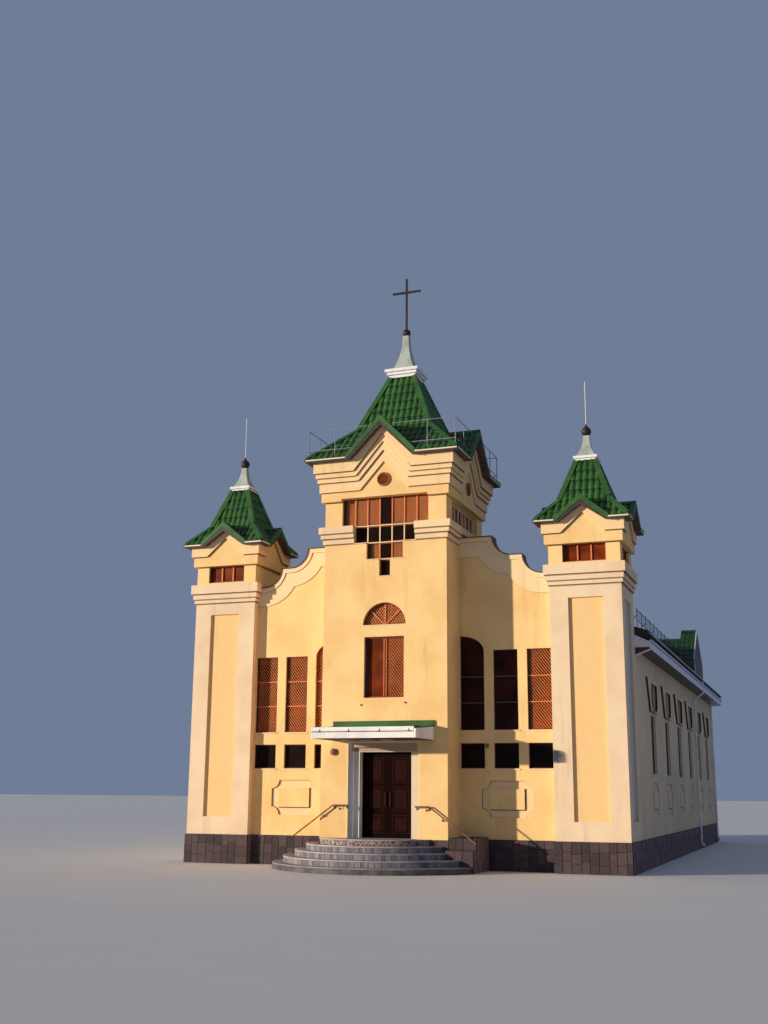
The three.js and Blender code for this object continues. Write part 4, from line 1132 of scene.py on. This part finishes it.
# The band windows round the rest of the central tower
BAND_HALF = 1.39
BAND_DEPTH = -0.2
BAND_PANES = 7
BAND_PANE = 2 * BAND_HALF / BAND_PANES
BAND_Z = (10.13, 10.8)
kit = defaultdict(bmesh.new)
mullions = bmesh.new()
for wall, centre in tower_walls(MAIN_HALF)[1:]:
    us = around(centre, BAND_HALF)
    rim(mullions, wall, rectangle(us, BAND_Z), 0.05, deep(BAND_DEPTH, 0.06))
    for k in range(1, BAND_PANES):
        block(mullions, wall, around(us[0] + k * BAND_PANE, 0.028), (10.15, 10.78), deep(BAND_DEPTH, 0.055))
    for k in range(1, BAND_PANES, 3):
        edges = (us[0] + k * BAND_PANE + 0.04, us[0] + (k + 1) * BAND_PANE - 0.04)
        pane = rectangle(edges, (10.18, 10.75))
        lattice(kit["lattice"], wall, pane, deep(BAND_DEPTH, 0.014), (0.11, 0.15), 0.014)
    block(kit["sills"], wall, (us[0] - 0.02, us[1] + 0.02), (10.115, 10.15), (BAND_DEPTH, 0.03))
place_kit("band_window", kit, sill_paint=white_metal)
piece("band_window_mullions", mullions, mullion_paint, "render_trim")

# The nave's windows: tall ones below, flared ones above
NAVE_DEPTH = -0.1
SLOT_HALF = 0.54
SLOT = (2.77, 4.6)
FLARED = ((-0.54, 4.76), (0.54, 4.76), (0.7, 4.98), (0.7, 5.6), (-0.7, 5.6), (-0.7, 4.98))
for name, wall, centres in NAVE_WALLS:
    kit = defaultdict(bmesh.new)
    for centre in centres:
        low = rectangle(around(centre, SLOT_HALF), SLOT)
        high = [(centre + u, v) for u, v in FLARED]
        ws = deep(NAVE_DEPTH, 0.02)
        bar(kit["frames"], wall, (centre, 2.8), (centre, 4.57), 0.035, ws)
        bar(kit["frames"], wall, (centre - 0.5, 3.9), (centre + 0.5, 3.9), 0.03, ws)
        sill = (around(centre, 0.56), 2.76, 0.03)
        window(kit, wall, low, NAVE_DEPTH, 0.04, pane="mauve", sill=sill, thick=0.02)
        bar(kit["frames"], wall, (centre, 4.8), (centre, 5.57), 0.035, ws)
        sill = ((centre - 0.5, centre - 0.1), 4.735, 0.075)
        window(kit, wall, high, NAVE_DEPTH, 0.04, pane="dark", sill=sill, thick=0.02)
    place_kit(f"nave_{name}_window", kit, nave_frame, sill_paint=sill_metal)

# Oculi in the gables of the central tower
OCULUS_Z = 11.447
GABLE_OUT = 0.103
rings = bmesh.new()
oculus_glass = bmesh.new()


def circle(centre, radius):
    return arc(centre, radius, radius, 0, 2 * math.pi, 24)[:-1]


for wall, u in tower_walls(MAIN_HALF + GABLE_OUT):
    rim(rings, wall, circle((u, OCULUS_Z), 0.215), 0.03, (0, 0.035))
    rim(rings, wall, circle((u, OCULUS_Z), 0.185), 0.03, (0, 0.018))
    plate(oculus_glass, wall, circle((u, OCULUS_Z), 0.158), (0, 0.006))
piece("oculus_rings", rings, oculus_paint, "render_trim")
piece("oculus_glass", oculus_glass, brown_glass, "window_brown")


def bars_along(bm, wall, line, width, ws):
    """A bar for each stretch of a line that has a length."""
    for a, b in zip(line, line[1:]):
        if math.dist(a, b) > 1e-4:
            bar(bm, wall, a, b, width, ws)


# Dark bars of painted shade round the relief panels: the left and upper edges of the sunk field with its
# notches, and the lower and right sides of the raised middle
PANEL_HALF = 0.752
PANEL_Z = (1.465, 2.5)
NOTCH = 0.248
RELIEF_SHADE_LINES = (
    [
        *arc((-PANEL_HALF, PANEL_Z[0]), NOTCH, NOTCH, 0, 0.5 * math.pi, 5),
        *arc((-PANEL_HALF, PANEL_Z[1]), NOTCH, NOTCH, 1.5 * math.pi, 2 * math.pi, 5),
        (PANEL_HALF - NOTCH, PANEL_Z[1]),
    ],
    [(-0.519, 1.68), (0.525, 1.68), (0.525, 2.284)],
)
outlines = bmesh.new()
for wall, centres in ((WING, (-WING_X[1], WING_X[1])), *((wall, centres) for _, wall, centres in NAVE_WALLS)):
    for centre in centres:
        for line in RELIEF_SHADE_LINES:
            bars_along(outlines, wall, [(centre + u, v) for u, v in line], 0.016, deep(-RELIEF_DEPTH, 0.02))
piece("relief_shade_lines", outlines, coping_metal, "metal_dark")

# Plinth stones
STONE_JOINT = 0.016
STONE_OUT = 0.028
STONE_WIDTH = (0.2, 0.29)
STONE_HEIGHT = 0.285


def shaded(verts, layer):
    """Gives the vertices of one stone a shade of its own."""
    shade = RANDOM.random()
    for vert in verts:
        vert[layer] = shade


def inset(low, high, gap=STONE_JOINT / 2):
    return (low + gap, high - gap)


def stones(bm, layer, wall, us, out=STONE_OUT, vs=(0.0, PLINTH_TOP)):
    """Columns of rough stones, each stone of its own height."""
    at = us[0]
    while at < us[1] - 0.02:
        width = RANDOM.uniform(*STONE_WIDTH)
        if us[1] - at - width < 0.14:
            width = us[1] - at
        rows = max(1, round(span(vs) / STONE_HEIGHT))
        levels = [vs[0]]
        for k in range(1, rows):
            levels.append(vs[0] + span(vs) * k / rows + RANDOM.uniform(-0.07, 0.07))
        levels.append(vs[1])
        for low, high in zip(levels, levels[1:]):
            ws = (out - 0.01, out + RANDOM.uniform(0.012, 0.026))
            shaded(block(bm, wall, inset(at, at + width), inset(low, high), ws), layer)
        at += width


plinth = bmesh.new()
tone_layer = plinth.verts.layers.float.new("tone")
CORNER = MAIN_HALF + STONE_OUT
PLINTH_JAMB = 1.14
NAVE_START = SIDE_Y + SIDE_HALF + 0.035
runs = [
    (WING, (1.99, 4.75)), (WING, (-4.75, -1.99)), (Wall(RIGHT, NAVE_X), (NAVE_START, REAR_Y + STONE_OUT)),
    (Wall(LEFT, NAVE_X), (-REAR_Y - STONE_OUT, -NAVE_START)), (Wall(BACK, REAR_Y), (-6.92, 6.92)),
    (DOOR_WALL, (PLINTH_JAMB, CORNER)), (DOOR_WALL, (-CORNER, -PLINTH_JAMB)),
    (Wall(RIGHT, MAIN_HALF), (-12.767, -11.55)), (Wall(LEFT, MAIN_HALF), (11.55, 12.767)),
]
REACH = SIDE_HALF + STONE_OUT
INNER_END = 0.79
for side, _ in SIDES:
    front, right, left, _ = tower_walls(SIDE_HALF, side * SIDE_X, SIDE_Y)
    runs.append((front[0], around(front[1], REACH)))
    runs.append((right[0], (SIDE_Y - REACH, SIDE_Y + (REACH if side > 0 else -INNER_END))))
    runs.append((left[0], (-SIDE_Y + (-REACH if side < 0 else INNER_END), -SIDE_Y + REACH)))
for wall, us in runs:
    stones(plinth, tone_layer, wall, us)
PLANTER_X = (1.988, 2.79)
PLANTER_REAR = -11.56
LOW_PART = (13.125, (0.0, 0.6))
HIGH_PART = (12.79, (0.6, 0.92))
for front, vs in (LOW_PART, HIGH_PART):
    stones(plinth, tone_layer, Wall(FRONT, front), PLANTER_X, 0.0, vs)
for front, vs in (LOW_PART, HIGH_PART):
    stones(plinth, tone_layer, Wall(RIGHT, PLANTER_X[1]), (-front, PLANTER_REAR), 0.0, vs)
piece("plinth_stones", plinth, plinth_stone, "step_stone")

# Railing round the roof of the central tower: posts, and rails that end at the hips
RAIL_OUT = 2.38
POST_FOOT = 12.14
RAILS = ((13.1, 0.2), (12.45, 0.86))
railing = bmesh.new()
for wall, centre in tower_walls(0):
    for u in (-RAIL_OUT, -1.5, 1.5):
        rod(railing, *(wall.point(centre + u, v, RAIL_OUT) for v in (POST_FOOT, RAILS[0][0])), 0.013)
    for side, _ in SIDES:
        for v, inner in RAILS:
            rod(railing, *(wall.point(centre + side * u, v, RAIL_OUT) for u in (RAIL_OUT, inner)), 0.012)
piece("tower_railing", railing, grey_rail, "metal_dark")

# Guard rails, gutters and downpipes of the nave
GUARD_X = 6.95
GUARD_Y = (-9.4, 4.1)
GUARD_BAY = 0.93
GUARD_RAILS = (0.62, 0.29)
STAY = 0.35
GUTTER_Z = 6.81
GUTTER_R = 0.05
PIPE_X = NAVE_X + 0.09
PIPE_R = 0.045
SWAN_X = EAVE_X - PIPE_R - 0.001
PIPE_TOPS = ((5.98, True), (13.4, False))
CLAMPS = (1.6, 3.4, 5.2)


def roof_height(x):
    return EAVE_Z + (EAVE_X - abs(x)) * ROOF_SLOPE


parts = defaultdict(bmesh.new)
guard = parts["nave_roof_guards"]
pipes = parts["downpipes"]
for side, _ in SIDES:
    x = side * GUARD_X
    foot = roof_height(GUARD_X)
    for lift in GUARD_RAILS:
        rod(guard, *((x, y, foot + lift) for y in GUARD_Y), 0.01)
    for k in range(int(span(GUARD_Y) / GUARD_BAY) + 1):
        y = GUARD_Y[0] + k * GUARD_BAY
        rod(guard, (x, y, foot), (x, y, foot + 0.65), 0.009)
        ball(guard, (x, y, foot + 0.65), 0.022, 1)
        if k % 2 == 0:
            rod(guard, (x - side * STAY, y, roof_height(GUARD_X - STAY)), (x, y, foot + 0.45), 0.01)
        for part in (1, 2, 3):
            at = y + part * GUARD_BAY / 4
            if at < GUARD_Y[1]:
                top = (x, at - GUARD_BAY / 8, foot + GUARD_RAILS[0])
                rod(guard, (x, at, foot + GUARD_RAILS[1]), top, 0.005, 6)
    wall = side_wall(side, EAVE_X)
    ends = (-9.63, 14.9) if side > 0 else (-14.9, 9.63)
    # The gutter is painted near black as shade, with a white bead along its lip
    profile = arc((-0.054, GUTTER_Z), GUTTER_R, GUTTER_R, math.pi, 2 * math.pi, 6)[:7]
    profile += [(-0.01, GUTTER_Z + 0.006), (-0.098, GUTTER_Z + 0.006)]
    moulding(parts["nave_gutters"], wall, ends, profile)
    rod(parts["nave_gutter_beads"], *(wall.point(end, GUTTER_Z + 0.01, -0.019) for end in ends), 0.019)
    # Black boards between the fascia and the gutter: painted shade
    block(parts["nave_gutter_shade_boards"], wall, ends, (6.64, 6.79), (-0.105, -0.075))
    block(parts["nave_fascia_tops"], wall, ends, (6.6, 6.655), (-0.075, -0.002))
    for y, swan in PIPE_TOPS:
        path = [(PIPE_X, 0.25), (PIPE_X + 0.1, 0.12)]
        head = [(7.34, 6.8), (SWAN_X, 6.56), (SWAN_X, 6.3), (PIPE_X, 6.02)] if swan else [(PIPE_X, 6.28)]
        pipe(pipes, [(side * x, y, z) for x, z in head + path], PIPE_R)
        for z in CLAMPS:
            rod(pipes, (side * PIPE_X, y, z), (side * PIPE_X, y, z + 0.05), 0.057)
place(parts, "metal_dark", {"nave_roof_guards": dark_metal, "nave_gutters": shade_black_metal}, 40)
place(parts, "metal_white", {"nave_gutter_beads": canopy_metal}, 40)
place(parts, "metal_white", {"nave_fascia_tops": fascia_metal})
place(parts, "metal_dark", {"nave_gutter_shade_boards": shade_black_metal})
place(parts, "metal_white", {"downpipes": white_metal}, 40)

# End boards of the nave's eaves beside the side towers, painted dark as shade
BOARD_X = (6.9, 7.33, 7.355, 7.36)
end_boards = bmesh.new()
end_trims = bmesh.new()
wall = Wall(FRONT, PLAN_SHIFT - 2.1083)
for side, _ in SIDES:
    inner, front, corner, outer = (side * x for x in BOARD_X)
    plate(end_boards, wall, [(inner, 6.2), (corner, 6.37), (inner, 6.37)], (-0.05, 0.0))
    block(end_boards, wall, sorted((inner, front)), (6.37, 6.44), (0.0, 0.006))
    bar(end_trims, wall, (inner, 6.205), (outer, 6.375), 0.035, (-0.05, 0.012))
    block(end_trims, wall, sorted((front, outer)), (6.36, 6.6), (0.0, 0.012))
piece("eaves_end_boards", end_boards, soffit_shade_paint, "metal_dark")
piece("eaves_end_trims", end_trims, white_metal, "metal_white")

# Copings of the scroll walls, whose top runs outwards from the central tower
SCROLL_R = 0.6
SCROLL = [
    (1.96, 9.73), (3.03, 9.73), *arc((3.63, 9.73), SCROLL_R, SCROLL_R, math.pi, 1.5 * math.pi, 12),
    (3.95, 9.13), *arc((4.55, 9.13), SCROLL_R, SCROLL_R, math.pi, 1.5 * math.pi, 12), (4.78, 8.53),
]
coping = bmesh.new()
for side, _ in SIDES:
    bars_along(coping, WING, [(side * u, v) for u, v in SCROLL], 0.03, (-0.37, 0.075))
piece("scroll_copings", coping, coping_metal, "metal_dark")

# Canopy: a sloping slab with a ribbed front, green roof metal, gutter, brackets, a strip of painted shadow
# under the gutter, a soffit painted dark as shade, and lights
CANOPY_HALF = 1.56
CANOPY_SIDE = [(-2.62, 3.62), (-0.9745, 3.62), (-0.9745, 4.0), (-2.62, 3.87)]
SEAM = [(-2.6, 3.87), (-0.975, 4.0), (-0.975, 4.045), (-2.6, 3.9)]
RIBS = 52
CANOPY_SEAMS = 8
BRACKETS = (-1.3, -0.42, 0.5, 1.36)
LIGHTS = (-0.9, -0.3, 0.3)
CANOPY_GUTTER = [
    (1.646, 3.926), (1.655, 3.926), (1.655, 3.83), (1.64, 3.8),
    (1.6, 3.8), (1.6, 3.81), (1.635, 3.81), (1.646, 3.835),
]


def slab(bm, xs, outline):
    """Takes an outline in the source's y and z from one x to another."""
    loft(bm, *([Vector((x, y - PLAN_SHIFT, z)) for y, z in outline] for x in xs))


canopy = defaultdict(bmesh.new)
slab(canopy["body"], (-CANOPY_HALF, CANOPY_HALF), CANOPY_SIDE)
for k in range(RIBS):
    u = -CANOPY_HALF + (k + 0.5) * 2 * CANOPY_HALF / RIBS
    block(canopy["body"], DOOR_WALL, around(u, 0.016), (3.63, 3.79), (1.645, 1.652))
block(canopy["roof"], DOOR_WALL, (-CANOPY_HALF, CANOPY_HALF), (3.98, 4.18), (0.0005, 0.06))
seams = [around(-1.5 + k * 3.0 / 7, 0.01) for k in range(CANOPY_SEAMS)]
for xs in [deep(-CANOPY_HALF, 0.03), deep(1.53, 0.03), *seams]:
    slab(canopy["roof"], xs, SEAM)
block(canopy["roof"], DOOR_WALL, (-1.54, 1.49), (3.9, 3.936), (1.4, 1.63))
moulding(canopy["gutter"], DOOR_WALL, (-CANOPY_HALF, 1.5), CANOPY_GUTTER)
for u in BRACKETS:
    block(canopy["brackets"], DOOR_WALL, (u - 0.1, u + 0.04), (3.786, 3.81), (1.64, 1.658))
    block(canopy["brackets"], DOOR_WALL, around(u, 0.012), (3.78, 3.87), (1.65, 1.659))
# A dark strip under the gutter along the whole front: painted shadow
block(canopy["brackets"], DOOR_WALL, (-1.55, 1.5), (3.786, 3.806), (1.64, 1.6555))
block(canopy["brackets"], DOOR_WALL, (-1.55, -1.5), (3.9, 3.94), (0.1, 1.6))
# A dark board under the canopy: painted shade
block(canopy["soffit"], DOOR_WALL, (-1.5, 1.5), (3.612, 3.62), (0.02, 1.58))
for u in LIGHTS:
    block(canopy["lights"], DOOR_WALL, around(u, 0.2), (3.604, 3.612), (0.5, 0.6))
deck = piece("canopy_body", canopy["body"], canopy_metal, "metal_white")
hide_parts("canopy")
piece("canopy_roof_metal", canopy["roof"], roof_trim, "roof_green")
piece("canopy_gutter", canopy["gutter"], white_metal, "metal_white")
piece("canopy_brackets_and_shadow_line", canopy["brackets"], dark_metal, "metal_dark")
piece("canopy_soffit", canopy["soffit"], soffit_shade_paint, "metal_dark")
piece("canopy_lights", canopy["lights"], lamp_glass, "metal_white")

# Door panels
LEAF = Wall(FRONT, 12.295)
PANEL_ROWS = ((0.99, 1.52), (1.62, 2.32), (2.42, 3.14))
PANEL_IN = 0.075
for side, name in SIDES:
    panels = bmesh.new()
    us = sorted((side * 0.13, side * 0.66))
    for vs in PANEL_ROWS:
        rim(panels, LEAF, rectangle(us, vs), 0.035, (0, 0.01))
        block(panels, LEAF, inset(*us, PANEL_IN), inset(*vs, PANEL_IN), (0, 0.008))
    piece(f"door_panels_{name}", panels, mahogany_trim, "door_wood", body=f"door_{name}")

# Steps: light edges over risers of split stone
STEP_CENTRE = Vector((-0.25, -11.515, 0))
TREAD = 0.33
LANDING_R = 2.1
TOWER_FRONT = 1.252
PLANTER_FRONT = 1.61


def ring_block(bm, radii, angles, zs, layer=None):
    """A curved block round the centre of the steps."""
    count = max(1, round(abs(span(angles)) * radii[1] / 0.12))
    for k in range(count):
        a0, a1 = (angles[0] + span(angles) * end / count for end in (k, k + 1))
        corners = []
        for r, a in ((radii[0], a0), (radii[1], a0), (radii[1], a1), (radii[0], a1)):
            corners.append(STEP_CENTRE + Vector((math.cos(a), math.sin(a), 0)) * r)
        before = len(bm.verts)
        loft(bm, *([corner + UP * z for corner in corners] for z in zs))
        if layer is not None:
            bm.verts.ensure_lookup_table()
            shaded(bm.verts[before:], layer)


risers = bmesh.new()
riser_tone = risers.verts.layers.float.new("tone")
nosings = bmesh.new()
for level in range(1, 5):
    r = LANDING_R + (4 - level) * TREAD
    start = -math.pi + math.asin((TOWER_FRONT if level == 4 else STONE_OUT) / r)
    end = -math.asin((PLANTER_FRONT if level < 3 else TOWER_FRONT) / r)
    top = (level + 1) * RISER
    ring_block(nosings, (r - 0.05, r + 0.014), (start, end), (top - 0.034, top + 0.003))
    at = start + 0.01
    while level < 4 and at < end - 0.02:
        width = RANDOM.uniform(0.16, 0.34) / r
        if end - at - width < 0.1 / r:
            width = end - at
        radii = (r - 0.02, r + RANDOM.uniform(0.004, 0.01))
        zs = (level * RISER + 0.004, top - 0.04)
        ring_block(risers, radii, inset(at, at + width, STONE_JOINT / 2 / r), zs, riser_tone)
        at += width
piece("step_nosings", nosings, nosing_stone, "step_stone")
piece("step_risers", risers, riser_stone, "step_stone")

# The threshold under the door, low enough for the leaves to swing over it
threshold = bmesh.new()
block(threshold, DOOR_WALL, (-0.95, 0.95), (FLOOR_TOP + 0.001, FLOOR_TOP + 0.0045), (-0.35, 0.02))
piece("door_threshold", threshold, nosing_stone, "step_stone")

# Lamps and small fixtures on the front
LAMP = (-1.541, 3.298)
LAMP_R = 0.1
CAMERAS = ((-0.705, 4.651), (0.667, 4.699))
RAIL_HOOKS = ((-1.326, 1.78), (-1.821, 1.561), (1.326, 1.76), (1.81, 1.486))


def stub(bm, wall, spot, ws, radius, sides, end_radius=None):
    """A short round bar that stands out from a wall."""
    rod(bm, *(wall.point(*spot, w) for w in ws), radius, sides, end_radius)


fixtures = bmesh.new()
lamp_glasses = bmesh.new()
stub(fixtures, DOOR_WALL, LAMP, (0, 0.05), LAMP_R, 20)
stub(fixtures, DOOR_WALL, LAMP, (0.05, 0.07), LAMP_R * 0.94, 20, LAMP_R * 0.7)
dome = bmesh.ops.create_icosphere(lamp_glasses, subdivisions=2, radius=LAMP_R * 0.62)["verts"]
flattened = Matrix.Translation(DOOR_WALL.point(*LAMP, 0.06)) @ Matrix.Diagonal((1, 0.55, 1, 1))
bmesh.ops.transform(lamp_glasses, matrix=flattened, verts=dome)
for spot in CAMERAS:
    stub(fixtures, DOOR_WALL, spot, (0, 0.03), 0.026, 12)
    stub(fixtures, DOOR_WALL, spot, (0.03, 0.045), 0.014, 12)
for u, v in RAIL_HOOKS:
    hook = [(v - 0.015, 0.085), (v - 0.075, 0.085), (v - 0.1, 0.06), (v - 0.1, 0.01)]
    pipe(fixtures, [DOOR_WALL.point(u, *point) for point in hook], 0.008, 8)
    stub(fixtures, DOOR_WALL, (u, v - 0.1), (0.0, 0.012), 0.032, 14)
block(fixtures, WING, (2.75, 2.83), (3.46, 3.55), (0, 0.06))
rod(fixtures, (2.79, -11.57, 3.48), (2.79, -11.62, 3.46), 0.03, 12, 0.04)
piece("wall_lamps", fixtures, rail_metal, "metal_dark", smooth=40)
piece("wall_lamp_glasses", lamp_glasses, amber_glass, "metal_dark", smooth=60)
wall_box = bmesh.new()
tower_front = Wall(FRONT, SIDE_HALF - SIDE_Y)
block(wall_box, tower_front, (4.82, 4.93), (3.02, 3.34), (0, 0.07))
rod(wall_box, *(tower_front.point(u, 3.2, 0.035) for u in (4.95, 5.01)), 0.025, 12)
piece("wall_box", wall_box, grey_rail, "metal_dark")

# Floor, light and camera
FLOOR_HALF = 400
floor_form = bmesh.new()
bmesh.ops.create_grid(floor_form, x_segments=1, y_segments=1, size=FLOOR_HALF)
mesh = bpy.data.meshes.new("floor")
floor_form.to_mesh(mesh)
floor_form.free()
s = Shader("studio_floor", 0.9)
mesh.materials.append(s.finish(s.mix((214, 212, 208), (222, 220, 216), s.noise(0.5))))
floor = bpy.data.objects.new("floor", mesh)
floor.location = (0, 0, -0.002)
bpy.context.scene.collection.objects.link(floor)

world = bpy.data.worlds.new("studio")
world.use_nodes = True
sky = world.node_tree.nodes["Background"]
sky.inputs["Color"].default_value = (0.52, 0.66, 1.0, 1)
sky.inputs["Strength"].default_value = 0.31
bpy.context.scene.world = world
bpy.context.scene.view_settings.view_transform = "Standard"

SUN_WAY = Vector((0.81, 0.59, -0.14))
light = bpy.data.lights.new("key", "SUN")
light.energy = 4.85
light.color = (1.0, 0.87, 0.68)
light.angle = math.radians(1)
lamp = bpy.data.objects.new("key", light)
lamp.rotation_euler = SUN_WAY.to_track_quat("-Z", "Y").to_euler()
bpy.context.scene.collection.objects.link(lamp)

YAW = 0.355452
PITCH = 0.232825
ROLL = 0.007507
CAMERA_AT = Vector((12.126, -45.479, 2.161))
data = bpy.data.cameras.new("camera")
data.sensor_fit = "VERTICAL"
data.sensor_height = 36
data.lens = 41.52
data.clip_end = 1000
camera = bpy.data.objects.new("camera", data)
level_view = Matrix.Rotation(YAW, 4, "Z") @ Matrix.Rotation(math.pi / 2 + PITCH, 4, "X")
camera.matrix_world = Matrix.Translation(CAMERA_AT) @ level_view @ Matrix.Rotation(ROLL, 4, "Z")
bpy.context.scene.collection.objects.link(camera)
bpy.context.scene.camera = camera
